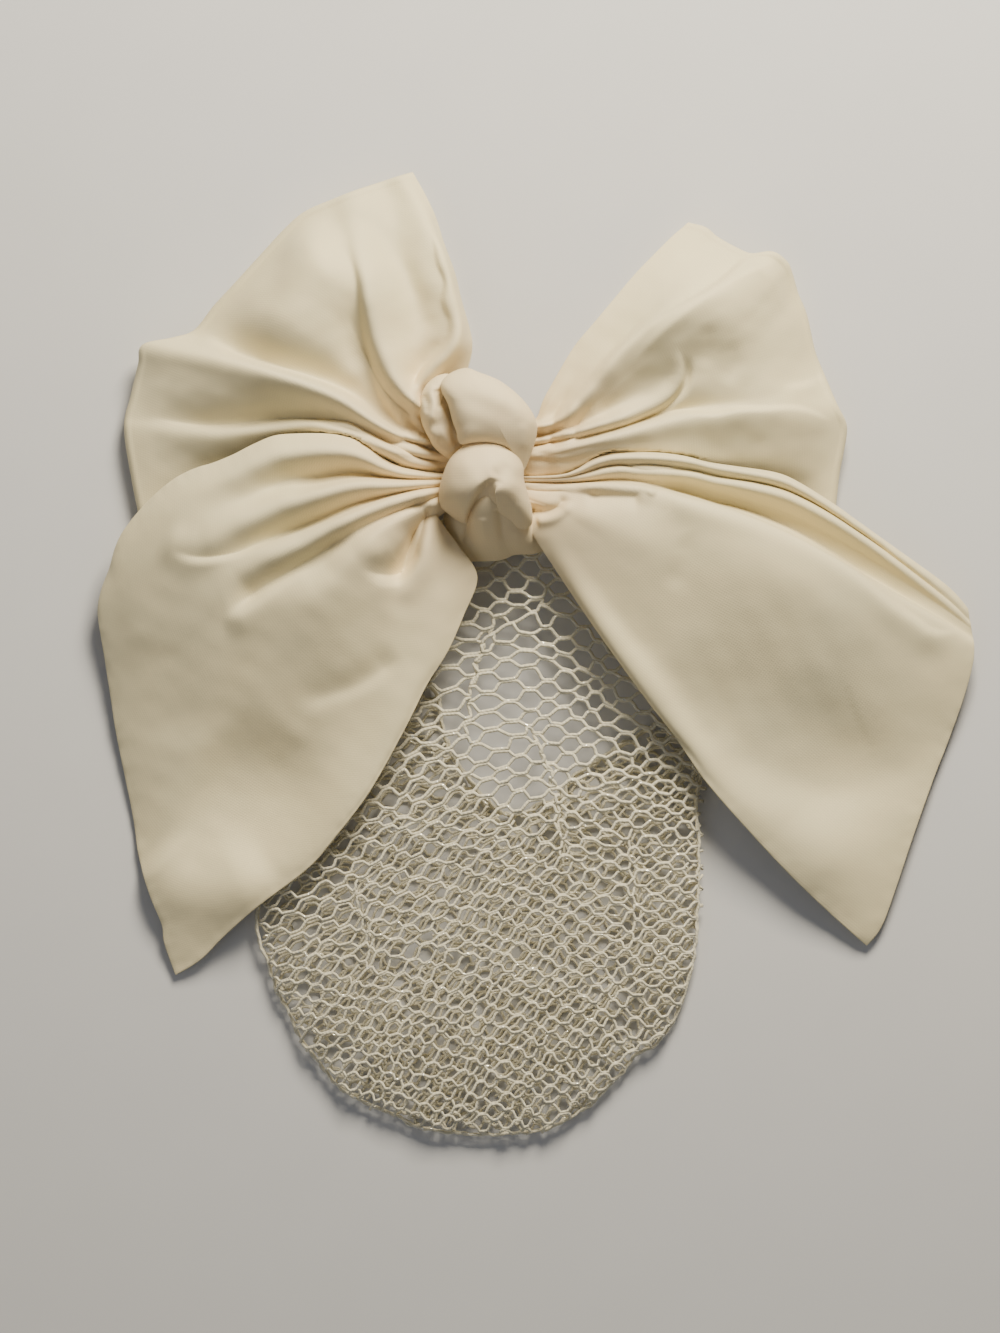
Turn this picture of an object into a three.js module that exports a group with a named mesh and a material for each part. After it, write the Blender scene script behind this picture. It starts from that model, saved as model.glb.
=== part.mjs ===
// A hair net with a large tied bow, lying on its back: a knotted sash bow on a barrette, and a soft
// knitted bag hanging from the barrette for a bun of hair. Millimetres, +Z up, the floor at z = 0,
// the bow towards +Y and the bag towards -Y. Cloth walls are lofted through tables of folds.
import * as THREE from 'three';

// Cloth and net, in millimetres.
const LOOP_WALL = 1.2;
const TAIL_WALL = 1.8;
const STRIP_WALL = 1.6;
const NET_WALL = 1.0;

// How finely the walls are cut up.
const LOOP_STEPS = { front: 12, turn: 3, back: 7, across: 18 };
const TAIL_STEPS = { along: 14, across: 20 };
const STRIP_STEPS = { along: 6, across: 12 };
const BAND_STEPS = { perRow: 2, round: 12 };

// The barrette is hidden below the bow: a long flat clip whose slot holds the hair.
const BARRETTE = { x: -12, y: 47, length: 80, width: 9, leaf: 1.3, slot: 5.2, endWall: 3, round: 2.2 };
const PLATE_TOP = 2 * BARRETTE.leaf + BARRETTE.slot;

// The back layer of a loop goes this share of the way back to the knot, and its cloth comes down
// to the floor this far from the barrette.
const BACK_REACH = 0.86;
const DRAPE_REACH = 26;

// Each fold is a line from the knot out to the end of the cloth, with [x, y, z] at five stations.
const STATIONS = ['knot', 'near', 'mid', 'far', 'end'];

const UPPER_LEFT_LOOP = [
  { fold: 'low_edge', knot: [-14, 48, 13.6], near: [-37, 46, 14.5], mid: [-60, 43.5, 10.5],
    far: [-82, 38, 7], end: [-97, 33, 5] },
  { fold: 'low_slope', knot: [-14, 48.7, 14.4], near: [-36, 48.9, 17.5], mid: [-56.5, 52, 15],
    far: [-80, 47.5, 11], end: [-100, 45, 5.5] },
  { fold: 'low_ridge', knot: [-14, 49.4, 15.2], near: [-35.5, 51.2, 22], mid: [-56.5, 57, 20],
    far: [-79, 54.5, 15.5], end: [-101.5, 56, 6] },
  { fold: 'low_valley', knot: [-14, 50, 14.2], near: [-35.5, 53.2, 19.5], mid: [-57.5, 59.3, 17.5],
    far: [-78, 58.3, 14], end: [-101, 61, 5.5] },
  { fold: 'lap_slope', knot: [-14, 50.6, 15], near: [-35, 54.3, 23], mid: [-54.5, 62, 22],
    far: [-76, 65.5, 19], end: [-99.5, 69.5, 6.5] },
  { fold: 'lap_ridge', knot: [-14, 51.2, 15.6], near: [-34.5, 55.8, 25.5], mid: [-50.5, 65, 26],
    far: [-68, 70.8, 24.5], end: [-95.5, 78, 9] },
  { fold: 'bowl_foot', knot: [-14, 51.8, 14], near: [-34, 57.5, 19], mid: [-48.5, 67.5, 16],
    far: [-64.5, 74, 15], end: [-84, 81, 6.5] },
  { fold: 'bowl_left', knot: [-14, 52.4, 14.2], near: [-34, 59, 19.5], mid: [-47, 72, 17],
    far: [-62, 84, 18], end: [-72, 94, 9] },
  { fold: 'bowl_right', knot: [-14, 53, 14.6], near: [-33.8, 60.8, 20], mid: [-44.5, 77, 18],
    far: [-54, 96, 20.5], end: [-59.8, 108.5, 11] },
  { fold: 'crest_foot', knot: [-14, 53.6, 14.6], near: [-33.4, 62.2, 21], mid: [-41, 76, 19.5],
    far: [-45.5, 95, 22], end: [-52, 112, 12] },
  { fold: 'crest', knot: [-14, 54.2, 15.6], near: [-32, 63.2, 25.5], mid: [-37.5, 77, 27],
    far: [-41, 95, 26.5], end: [-45.6, 114.3, 13] },
  { fold: 'hem_valley', knot: [-14, 54.8, 14.8], near: [-30, 64, 21.5], mid: [-29, 79, 22],
    far: [-33, 97, 21], end: [-39, 116.6, 10.5] },
  { fold: 'hem_ridge', knot: [-14, 55.6, 14.8], near: [-27.5, 65.5, 21.5], mid: [-19.5, 78.5, 25],
    far: [-23.5, 99, 22], end: [-33, 118.8, 10] },
  { fold: 'inner_edge', knot: [-14, 56.6, 13.8], near: [-20.5, 65.5, 15.5], mid: [-16.2, 79.5, 17],
    far: [-20.3, 97, 15], end: [-29.8, 119.6, 8] },
];

const UPPER_RIGHT_LOOP = [
  { fold: 'inner_edge', knot: [-10.5, 55.6, 13.8], near: [2.5, 61.5, 16.5], mid: [12, 79.5, 14.5],
    far: [25, 95, 12], end: [37.5, 107.8, 7] },
  { fold: 'edge_valley', knot: [-10.5, 54.9, 14.4], near: [4.6, 61.3, 17.5], mid: [16, 78.3, 16.5],
    far: [29, 93.3, 14], end: [41.4, 106, 8] },
  { fold: 'back_panel', knot: [-10.5, 54.2, 15], near: [6.8, 61, 21], mid: [20, 77, 20],
    far: [34, 92, 17], end: [46.4, 103, 9] },
  { fold: 'long_ridge', knot: [-10.5, 53.5, 15.6], near: [9, 60.6, 24.5], mid: [23.5, 77, 25.5],
    far: [39, 89.5, 24], end: [53, 99.8, 11] },
  { fold: 'long_slope', knot: [-10.5, 52.8, 14.8], near: [11, 59.4, 21.5], mid: [27, 73, 20.5],
    far: [46, 86, 21], end: [59.2, 99.8, 12] },
  { fold: 'hollow', knot: [-10.5, 52.1, 14.2], near: [12.5, 58, 18.5], mid: [29, 67, 17],
    far: [50.5, 80, 17], end: [63.9, 93, 9] },
  { fold: 'hook_ridge', knot: [-10.5, 51.4, 15.6], near: [13.5, 56.6, 24.5], mid: [33, 64, 25],
    far: [54, 73.5, 19], end: [67.2, 82, 7.5] },
  { fold: 'hook_valley', knot: [-10.5, 50.7, 14.6], near: [14.5, 55.2, 21], mid: [37, 62.4, 19],
    far: [57, 66.5, 16], end: [70.2, 71.2, 6.5] },
  { fold: 'low_ridge', knot: [-10.5, 50, 15.6], near: [15.5, 53.6, 25.5], mid: [38.5, 58.6, 25.5],
    far: [58.5, 60.8, 23], end: [74.5, 62.2, 8.5] },
  { fold: 'low_slope', knot: [-10.5, 49.3, 14.8], near: [16.5, 51.8, 22.5], mid: [40, 54, 21],
    far: [60, 54.5, 17.5], end: [76.6, 56, 6] },
  { fold: 'low_valley', knot: [-10.5, 48.4, 14.2], near: [17.5, 49, 17], mid: [40, 48.5, 14.5],
    far: [60, 46.5, 11], end: [74.8, 46, 5.5] },
  { fold: 'low_edge', knot: [-10.5, 47.5, 13.6], near: [17.5, 46.5, 14.5], mid: [40, 44.5, 11],
    far: [58, 40.5, 7], end: [73.6, 36.5, 5] },
];

const LOWER_LEFT_TAIL = [
  { fold: 'top_edge', knot: [-14, 46.4, 14.4], near: [-37, 48.6, 22.6], mid: [-60, 55, 21.5],
    far: [-90, 44, 15], end: [-109, 14, 6] },
  { fold: 'top_ridge', knot: [-14, 45.9, 15.6], near: [-37, 46.6, 26], mid: [-60, 50, 26],
    far: [-87, 39, 20], end: [-109.3, 8, 6] },
  { fold: 'top_valley', knot: [-14, 45.4, 14.4], near: [-37, 44.3, 22], mid: [-57, 44.5, 20.5],
    far: [-83, 34, 20.5], end: [-108.8, 1, 5] },
  { fold: 'second_ridge', knot: [-14, 44.9, 15.6], near: [-37, 42.2, 25.5], mid: [-58, 38.5, 26.5],
    far: [-83, 27, 24.5], end: [-107.5, -8, 4] },
  { fold: 'second_valley', knot: [-14, 44.4, 14.4], near: [-37, 39.8, 22], mid: [-58, 32.5, 21.5],
    far: [-80, 21, 22], end: [-106, -17, 3] },
  { fold: 'third_ridge', knot: [-14, 43.9, 15.6], near: [-37, 37.4, 25.5], mid: [-57, 28, 26.5],
    far: [-78, 16, 24], end: [-104.5, -27, 2] },
  { fold: 'third_valley', knot: [-14, 43.4, 14.4], near: [-36, 35, 22.5], mid: [-53, 25, 22.5],
    far: [-73, 11, 22.5], end: [-102.5, -36, 1.6] },
  { fold: 'fourth_ridge', knot: [-14, 42.9, 15.6], near: [-35, 32.5, 25.5], mid: [-49, 19, 25.5],
    far: [-67, 0, 18], end: [-100.5, -45, 1.6] },
  { fold: 'slope', knot: [-14, 42.5, 14.8], near: [-33, 29.7, 23], mid: [-41, 13, 22],
    far: [-59, -16, 13], end: [-98, -55, 2.5] },
  { fold: 'pocket', knot: [-14, 42.1, 14.2], near: [-30.5, 28.4, 17.5], mid: [-34, 10, 19],
    far: [-51, -26, 11.8], end: [-95.5, -64, 3] },
  { fold: 'pocket_lip', knot: [-14, 41.7, 15], near: [-28, 32, 21.5], mid: [-24, 14, 19],
    far: [-46, -36, 15], end: [-93, -72, 2.2] },
  { fold: 'inner_edge', knot: [-14, 41.2, 14.4], near: [-25, 35.6, 18.5], mid: [-15.6, 19.8, 17],
    far: [-43.5, -37, 15.5], end: [-90, -79.6, 1.4] },
];

const LOWER_RIGHT_TAIL = [
  { fold: 'top_edge', knot: [-10.5, 45.8, 14.4], near: [16, 49.6, 21.5], mid: [44, 47.8, 19.5],
    far: [78, 35.2, 12.5], end: [108.8, 12, 5.5] },
  { fold: 'top_ridge', knot: [-10.5, 45.3, 15.6], near: [17, 48.3, 24.5], mid: [45, 46, 22.5],
    far: [78, 33.3, 15], end: [109.4, 8, 5.5] },
  { fold: 'top_valley', knot: [-10.5, 44.8, 14.6], near: [18, 46.5, 21.5], mid: [46, 43.6, 19],
    far: [78, 31, 12.5], end: [109.5, 5, 5] },
  { fold: 'second_ridge', knot: [-10.5, 44.3, 15.6], near: [19, 45, 24], mid: [46, 41.6, 20],
    far: [77.5, 28.5, 13.5], end: [109.6, 2.5, 5] },
  { fold: 'second_valley', knot: [-10.5, 43.8, 14.6], near: [20, 43.3, 21], mid: [46, 39, 17],
    far: [77, 25, 12.5], end: [109.5, 0, 5] },
  { fold: 'panel_crest', knot: [-10.5, 43.3, 15.6], near: [21, 42, 25.5], mid: [46, 36.4, 26],
    far: [76.5, 21, 21.5], end: [109, -4, 6] },
  { fold: 'panel_top', knot: [-10.5, 42.8, 15.2], near: [19, 38.5, 24], mid: [45, 32, 27],
    far: [73, 13, 21], end: [107, -13, 5] },
  { fold: 'panel_high', knot: [-10.5, 42.3, 14.8], near: [15, 34.5, 24], mid: [41, 23, 26],
    far: [68, 2, 17.5], end: [103.8, -22, 3] },
  { fold: 'panel_middle', knot: [-10.5, 41.8, 14.4], near: [11, 33, 22.5], mid: [35, 12, 22],
    far: [62, -11, 13], end: [100, -32, 2] },
  { fold: 'panel_low', knot: [-10.5, 41.3, 14.2], near: [7, 32.3, 21], mid: [28, 3, 18.5],
    far: [56, -23, 11.8], end: [96, -43, 2.5] },
  { fold: 'edge_roll', knot: [-10.5, 40.8, 14.2], near: [4, 32, 19.5], mid: [22, 0, 18.5],
    far: [50, -33, 12.5], end: [91, -56, 3] },
  { fold: 'inner_edge', knot: [-10.5, 40.3, 14], near: [1.2, 31.2, 17.5], mid: [16, 6, 16.5],
    far: [44, -33, 12.5], end: [83.5, -72.2, 1.4] },
];

// The loose end of the knot's sash hangs over the top of the net.
const KNOT_STRIP = [
  { fold: 'left_edge', knot: [-20.6, 37.2, 12], near: [-22.6, 35.2, 12.2], mid: [-22, 32, 12],
    far: [-19.6, 28, 11.2], end: [-17.5, 24.4, 9.6] },
  { fold: 'left_panel', knot: [-18.8, 38, 17], near: [-19.8, 35.8, 16.6], mid: [-19.8, 32, 15],
    far: [-18.2, 28, 12.8], end: [-16, 24.3, 9.9] },
  { fold: 'groove', knot: [-16.5, 38.5, 19], near: [-17.3, 36, 18.5], mid: [-17.6, 32, 16],
    far: [-16.6, 28, 13.2], end: [-14.2, 24.2, 9.9] },
  { fold: 'left_ridge', knot: [-13.5, 39, 21], near: [-14.5, 36, 21.2], mid: [-14.8, 32, 19.3],
    far: [-13.8, 28, 15.4], end: [-11.8, 24.2, 10.4] },
  { fold: 'middle', knot: [-10.5, 39.5, 21], near: [-11, 36, 20.8], mid: [-11.3, 32, 18.4],
    far: [-10.6, 28, 14.8], end: [-9, 24.4, 10.1] },
  { fold: 'valley', knot: [-8, 40, 20.5], near: [-8, 36.2, 19.5], mid: [-8.2, 32, 16.8],
    far: [-7.6, 28, 13.6], end: [-6, 24.9, 9.9] },
  { fold: 'right_ridge', knot: [-5, 40, 24.4], near: [-5, 36.5, 22.4], mid: [-4.9, 32.5, 18.8],
    far: [-4.4, 28.6, 14.6], end: [-2.8, 25.6, 10.3] },
  { fold: 'right_edge', knot: [-3.6, 40, 22.6], near: [-3.4, 36.5, 20.4], mid: [-3.8, 32.4, 14.8],
    far: [-1.4, 28.8, 11.6], end: [1.6, 26.2, 9.6] },
];

// Rolled bands of the knot: the middle of each section, half its width as a vector, half its height.
const KNOT_OVER = [
  { at: [-12, 41, 10.4], across: [6, 0, 0], half: 1.7 },
  { at: [-12, 50, 10.4], across: [7.4, 0, 0], half: 1.8 },
  { at: [-11.6, 59, 10.8], across: [7, -0.6, 0], half: 2.2 },
  { at: [-12, 65.8, 15], across: [6.2, -2, 0], half: 2.8 },
  { at: [-12.8, 67.2, 22], across: [7.4, -3.2, 0], half: 3.5 },
  { at: [-12.4, 64.2, 29], across: [10.2, -3.8, 0], half: 4.1 },
  { at: [-10.6, 58.6, 31.8], across: [10.9, -2.4, 0], half: 4.2 },
  { at: [-10, 53.4, 28.8], across: [9.5, -1.2, 0], half: 3.1 },
  { at: [-9.6, 50.2, 24.6], across: [8, -0.6, 0], half: 2 },
];

const KNOT_UNDER = [
  { at: [-21, 35.8, 21], across: [-3.2, -0.6, 0], half: 1.8 },
  { at: [-20, 40, 26.6], across: [-4.4, 0.6, 0], half: 3.1 },
  { at: [-17.4, 44.6, 32.2], across: [-4.8, 3.6, 0], half: 3.9 },
  { at: [-11.8, 46.8, 34.8], across: [-0.8, 5.8, 0], half: 4.1 },
  { at: [-7, 44.4, 32.8], across: [3.9, 3.7, 0], half: 4 },
  { at: [-5.3, 40, 29.4], across: [4, 0.2, 0], half: 3.3 },
  { at: [-4.8, 36, 26.2], across: [3.7, -0.4, 0], half: 2.4 },
  { at: [-4.6, 32.8, 22.6], across: [2.8, -0.3, 0], half: 1.5 },
];

const KNOT_LIP = [
  { at: [-11.6, 41.8, 26.6], across: [1.7, -0.6, 0], half: 1.1 },
  { at: [-12.1, 39, 27.4], across: [2.3, -0.8, 0], half: 1.8 },
  { at: [-12.9, 36.1, 26.2], across: [3.2, -0.7, 0], half: 2 },
  { at: [-13.2, 33, 23.2], across: [3, -0.3, 0], half: 1.3 },
];

const KNOT_TUCK = [
  { at: [-24.8, 70.6, 24.6], across: [-1.8, -1.4, 0], half: 1.3 },
  { at: [-27, 66.4, 26.6], across: [-3.4, -0.6, 0], half: 2.6 },
  { at: [-26.2, 60.4, 27.2], across: [-4.1, 0, 0], half: 3 },
  { at: [-24.4, 55, 25.8], across: [-3.4, -1, 0], half: 2.5 },
  { at: [-21.8, 51.6, 23.2], across: [-1.8, -1, 0], half: 1.4 },
];

// The net is a flattened bag: knitted round, open at the top between the barrette and a free rim.
const NET = {
  columns: 14, rows: 8, hole: 0.7, zigzag: 0.17,
  topY: 41.8, sideY: -72, bottomY: -119.6, bottomPower: 3,
  neckHalf: 38, bagHalf: 55.2, bagY: -31, neckX: -12, bagX: -13.6,
  neckZ: 7.2, bagZ: 8.8, floorZ: 0.55, seamZ: 2.4,
  sidePower: 5, endPower: 9, mouthTurn: 0.09,
};

// The free rim of the bag's lower layer, from the left side to the right.
const NET_RIM = [
  { across: -1, y: -8 }, { across: -0.7, y: -9 }, { across: -0.3, y: -14 }, { across: -0.12, y: -32 },
  { across: 0.1, y: -38 }, { across: 0.38, y: -29 }, { across: 0.65, y: -21 }, { across: 1, y: -14 },
];

const CLOTH = new THREE.MeshStandardMaterial({ color: 0xe6dcc4, roughness: 0.7, metalness: 0 });
const KNIT = new THREE.MeshStandardMaterial({ color: 0xcfc9ac, roughness: 0.6, metalness: 0 });
const METAL = new THREE.MeshStandardMaterial({ color: 0xb9b7b0, roughness: 0.35, metalness: 1 });

const UP = new THREE.Vector3(0, 0, 1);
const vector = (list) => new THREE.Vector3(...list);
const spline = (points) => new THREE.CatmullRomCurve3(points, false, 'catmullrom', 0.5);
const mix = THREE.MathUtils.lerp;

// A soft change from 0 to 1 as x goes from one value to another, in either direction.
function smooth(from, to, x) {
  const share = THREE.MathUtils.clamp((x - from) / (to - from), 0, 1);
  return share * share * (3 - 2 * share);
}

// A closed body from faces over shared points, turned so that its faces point out.
function body(points, faces) {
  let volume = 0;
  for (const [a, b, c] of faces) {
    volume += points[a].dot(new THREE.Vector3().crossVectors(points[b], points[c]));
  }
  const turned = volume < 0 ? faces.map(([a, b, c]) => [a, c, b]) : faces;
  const geometry = new THREE.BufferGeometry().setFromPoints(points);
  geometry.setIndex(turned.flat());
  geometry.computeVertexNormals();
  return geometry;
}

// A wall from two grids of points that face each other, closed along all four edges.
function wall(outer, inner) {
  const rows = outer.length;
  const columns = outer[0].length;
  const points = [...outer.flat(), ...inner.flat()];
  const top = (i, j) => i * columns + j;
  const under = (i, j) => rows * columns + top(i, j);
  const faces = [];
  const quad = (a, b, c, d) => faces.push([a, b, c], [a, c, d]);
  for (let i = 0; i + 1 < rows; i++) {
    for (let j = 0; j + 1 < columns; j++) {
      quad(top(i, j), top(i + 1, j), top(i + 1, j + 1), top(i, j + 1));
      quad(under(i, j), under(i, j + 1), under(i + 1, j + 1), under(i + 1, j));
    }
  }
  for (let i = 0; i + 1 < rows; i++) {
    quad(top(i, 0), under(i, 0), under(i + 1, 0), top(i + 1, 0));
    quad(top(i, columns - 1), top(i + 1, columns - 1), under(i + 1, columns - 1), under(i, columns - 1));
  }
  for (let j = 0; j + 1 < columns; j++) {
    quad(top(0, j), top(0, j + 1), under(0, j + 1), under(0, j));
    quad(top(rows - 1, j), under(rows - 1, j), under(rows - 1, j + 1), top(rows - 1, j + 1));
  }
  return body(points, faces);
}

// The cloth's middle surface: a smooth curve along each fold, and a smooth curve across the folds.
function clothSurface(table) {
  const lines = table.map((row) => spline(STATIONS.map((name) => vector(row[name]))));
  return (along, across) => spline(lines.map((line) => line.getPoint(along))).getPoint(across);
}

const steps = (count) => Array.from({ length: count + 1 }, (_, i) => i / count);

// A flat double layer of cloth, sewn along its edges.
function tail(table, thickness, count) {
  const surface = clothSurface(table);
  const middle = steps(count.along).map((s) => steps(count.across).map((t) => surface(s, t)));
  const shifted = (height) => middle.map((row) => row.map((p) => p.clone().addScaledVector(UP, height)));
  return wall(shifted(thickness / 2), shifted(-thickness / 2));
}

// A loop of cloth: out along the folds, round a soft turn, and back to the knot near the floor.
function loop(table) {
  const surface = clothSurface(table);
  const turnRadius = 1.7;
  const half = LOOP_WALL / 2;
  const outer = [];
  const inner = [];
  const add = (row) => {
    outer.push(row.map(({ at, out }) => at.clone().addScaledVector(out, half)));
    inner.push(row.map(({ at, out }) => at.clone().addScaledVector(out, -half)));
  };
  const across = steps(LOOP_STEPS.across);
  for (const s of steps(LOOP_STEPS.front)) {
    add(across.map((t) => ({ at: surface(s, t), out: UP })));
  }
  const outward = (t) => {
    const way = surface(1, t).sub(surface(0.9, t)).setZ(0);
    return way.normalize();
  };
  for (const turn of steps(LOOP_STEPS.turn + 1).slice(1)) {
    const angle = Math.PI * turn;
    add(across.map((t) => {
      const way = outward(t);
      const at = surface(1, t).addScaledVector(way, turnRadius * Math.sin(angle));
      at.z += turnRadius * (Math.cos(angle) - 1);
      return { at, out: way.multiplyScalar(Math.sin(angle)).addScaledVector(UP, Math.cos(angle)) };
    }));
  }
  for (const step of steps(LOOP_STEPS.back).slice(1)) {
    const s = 1 - step * BACK_REACH;
    add(across.map((t) => {
      const at = surface(s, t);
      const turnHeight = surface(1, t).z - 2 * turnRadius;
      const below = at.z - 2.2 * LOOP_WALL;
      at.z = Math.min(below, mix(drapedHeight(at.x, at.y), turnHeight, s ** 7));
      return { at, out: UP.clone().negate() };
    }));
  }
  return wall(outer, inner);
}

// The height of cloth that lies on the floor and is lifted where the barrette is below it.
function drapedHeight(x, y) {
  const overEnd = Math.max(0, Math.abs(x - BARRETTE.x) - BARRETTE.length / 2);
  const overSide = Math.max(0, Math.abs(y - BARRETTE.y) - BARRETTE.width / 2);
  const lift = smooth(DRAPE_REACH, 2, Math.hypot(overEnd, overSide));
  return mix(LOOP_WALL / 2, PLATE_TOP + 0.3 + LOOP_WALL / 2, lift);
}

// A rolled band of cloth: rounded sections carried along a smooth path, with closed ends.
function band(table) {
  const path = spline(table.map((row) => vector(row.at)));
  const sides = spline(table.map((row) => vector(row.across)));
  const halves = spline(table.map((row) => new THREE.Vector3(row.half, 0, 0)));
  const points = [];
  const count = (table.length - 1) * BAND_STEPS.perRow;
  for (const s of steps(count)) {
    const at = path.getPoint(s);
    const side = sides.getPoint(s);
    const lift = new THREE.Vector3().crossVectors(path.getTangent(s), side).normalize();
    lift.multiplyScalar(halves.getPoint(s).x);
    for (let k = 0; k < BAND_STEPS.round; k++) {
      const angle = (2 * Math.PI * k) / BAND_STEPS.round;
      points.push(at.clone().addScaledVector(side, Math.cos(angle)).addScaledVector(lift, Math.sin(angle)));
    }
  }
  const first = points.push(path.getPoint(0)) - 1;
  const last = points.push(path.getPoint(1)) - 1;
  const faces = [];
  for (let k = 0; k < BAND_STEPS.round; k++) {
    const next = (k + 1) % BAND_STEPS.round;
    for (let i = 0; i < count; i++) {
      const ring = i * BAND_STEPS.round;
      const after = ring + BAND_STEPS.round;
      faces.push([ring + k, ring + next, after + next], [ring + k, after + next, after + k]);
    }
    const end = count * BAND_STEPS.round;
    faces.push([first, next, k], [last, end + k, end + next]);
  }
  return body(points, faces);
}

const rimCurve = spline(NET_RIM.map(({ across, y }) => new THREE.Vector3(across, y, 0)));

// The rim's place along Y for a share of the bag's width from -1 to 1.
function rimY(across) {
  let low = 0;
  let high = 1;
  for (let i = 0; i < 24; i++) {
    const middle = (low + high) / 2;
    if (rimCurve.getPoint(middle).x < across) low = middle;
    else high = middle;
  }
  return rimCurve.getPoint(low).y;
}

// A point of the bag: round runs 0 to 1, over the top from left to right and back below; down runs
// 0 to 1 from the mouth to the closed bottom.
function netPoint(round, down) {
  const upper = round <= 0.5;
  const across = upper ? 4 * round - 1 : 3 - 4 * round;
  const intoLower = upper ? 0 : Math.min(round - 0.5, 1 - round);
  const startY = mix(NET.topY, rimY(across), smooth(0, NET.mouthTurn, intoLower));
  const endY = mix(NET.bottomY, NET.sideY, Math.abs(across) ** NET.bottomPower);
  const y = mix(startY, endY, down);
  const widened = smooth(NET.topY, NET.bagY, y);
  const half = mix(NET.neckHalf, NET.bagHalf, widened);
  const x = mix(NET.neckX, NET.bagX, widened) + half * across;
  const ceiling = mix(NET.neckZ, NET.bagZ, smooth(NET.topY, 0, y));
  const swell = Math.max(0, 1 - Math.abs(across) ** NET.sidePower) ** 0.45;
  const closing = Math.max(0, 1 - down ** NET.endPower) ** 0.5;
  const middle = mix(NET.seamZ, (ceiling + NET.floorZ) / 2, closing);
  const rise = ((ceiling - NET.floorZ) / 2) * swell * closing;
  return new THREE.Vector3(x, y, middle + (upper ? rise : -rise));
}

// The bag as a wall of six-sided meshes, each cut through, closed by a seam along its bottom.
function netBag() {
  const around = 2 * NET.columns;
  const corners = [];
  const spot = (k, line) => {
    const wrapped = ((k % around) + around) % around;
    const edge = line === 0 || line === NET.rows;
    const shift = edge ? 0 : NET.zigzag * ((wrapped + line) % 2 ? -1 : 1);
    return [wrapped / around, (line + shift) / NET.rows];
  };
  const surface = [];
  const flat = [];
  const index = new Map();
  const vertex = (round, down) => {
    const folded = down > 0.9999 && round > 0.5 ? 1 - round : round;
    const key = `${folded.toFixed(5)} ${down.toFixed(5)}`;
    if (!index.has(key)) index.set(key, surface.push(netPoint(folded, down)) - 1);
    return index.get(key);
  };
  for (let line = 0; line < NET.rows; line++) {
    for (let column = 0; column < NET.columns; column++) {
      const k = 2 * column + (line % 2);
      const ring = [[k, line], [k + 1, line], [k + 2, line], [k + 2, line + 1], [k + 1, line + 1], [k, line + 1]];
      const places = ring.map(([a, b]) => spot(a, b));
      const base = places[0][0];
      const near = places.map(([round, down]) => [round < base - 1e-9 ? round + 1 : round, down]);
      const centre = near.reduce(([a, b], [c, d]) => [a + c / 6, b + d / 6], [0, 0]);
      const rim = near.map(([round, down]) => [
        mix(centre[0], round, NET.hole) % 1, mix(centre[1], down, NET.hole),
      ]);
      corners.push([places.map(([a, b]) => vertex(a, b)), rim.map(([a, b]) => vertex(a, b))]);
    }
  }
  for (const [outside, inside] of corners) {
    for (let i = 0; i < 6; i++) {
      const j = (i + 1) % 6;
      flat.push([outside[i], outside[j], inside[j]], [outside[i], inside[j], inside[i]]);
    }
  }
  return thickened(surface, flat, NET_WALL);
}

// A wall on both sides of an open surface of triangles, closed along every free edge.
function thickened(points, faces, thickness) {
  const normals = points.map(() => new THREE.Vector3());
  for (const face of faces) {
    const [a, b, c] = face.map((i) => points[i]);
    const normal = new THREE.Vector3().crossVectors(b.clone().sub(a), c.clone().sub(a));
    face.forEach((i) => normals[i].add(normal));
  }
  const shifted = (side) => points.map((p, i) => (
    p.clone().addScaledVector(normals[i].clone().normalize(), (side * thickness) / 2)
  ));
  const count = points.length;
  const edges = new Map();
  for (const [a, b, c] of faces) {
    for (const [from, to] of [[a, b], [b, c], [c, a]]) edges.set(`${from} ${to}`, [from, to]);
  }
  const closed = [...faces, ...faces.map(([a, b, c]) => [a + count, c + count, b + count])];
  for (const [from, to] of edges.values()) {
    if (edges.has(`${to} ${from}`)) continue;
    closed.push([to, from, from + count], [to, from + count, to + count]);
  }
  return body([...shifted(1), ...shifted(-1)], closed);
}

// The clip seen from its long side: two leaves joined at both ends, with the hair's slot between.
function barrette() {
  const { length, width, slot, leaf, endWall, round } = BARRETTE;
  const height = 2 * leaf + slot;
  const outline = new THREE.Shape();
  outline.moveTo(-length / 2 + round, 0);
  outline.lineTo(length / 2 - round, 0);
  outline.absarc(length / 2 - round, round, round, -Math.PI / 2, 0);
  outline.lineTo(length / 2, height - round);
  outline.absarc(length / 2 - round, height - round, round, 0, Math.PI / 2);
  outline.lineTo(-length / 2 + round, height);
  outline.absarc(-length / 2 + round, height - round, round, Math.PI / 2, Math.PI);
  outline.lineTo(-length / 2, round);
  outline.absarc(-length / 2 + round, round, round, Math.PI, 1.5 * Math.PI);
  const gap = new THREE.Path();
  gap.moveTo(-length / 2 + endWall, leaf);
  gap.lineTo(-length / 2 + endWall, leaf + slot);
  gap.lineTo(length / 2 - endWall, leaf + slot);
  gap.lineTo(length / 2 - endWall, leaf);
  gap.closePath();
  outline.holes.push(gap);
  const geometry = new THREE.ExtrudeGeometry(outline, { depth: width, bevelEnabled: false, curveSegments: 4 });
  return geometry.rotateX(Math.PI / 2).translate(BARRETTE.x, BARRETTE.y + width / 2, 0);
}

const model = new THREE.Group();

function add(name, geometry, material) {
  const mesh = new THREE.Mesh(geometry, material);
  mesh.name = name;
  model.add(mesh);
}

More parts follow.
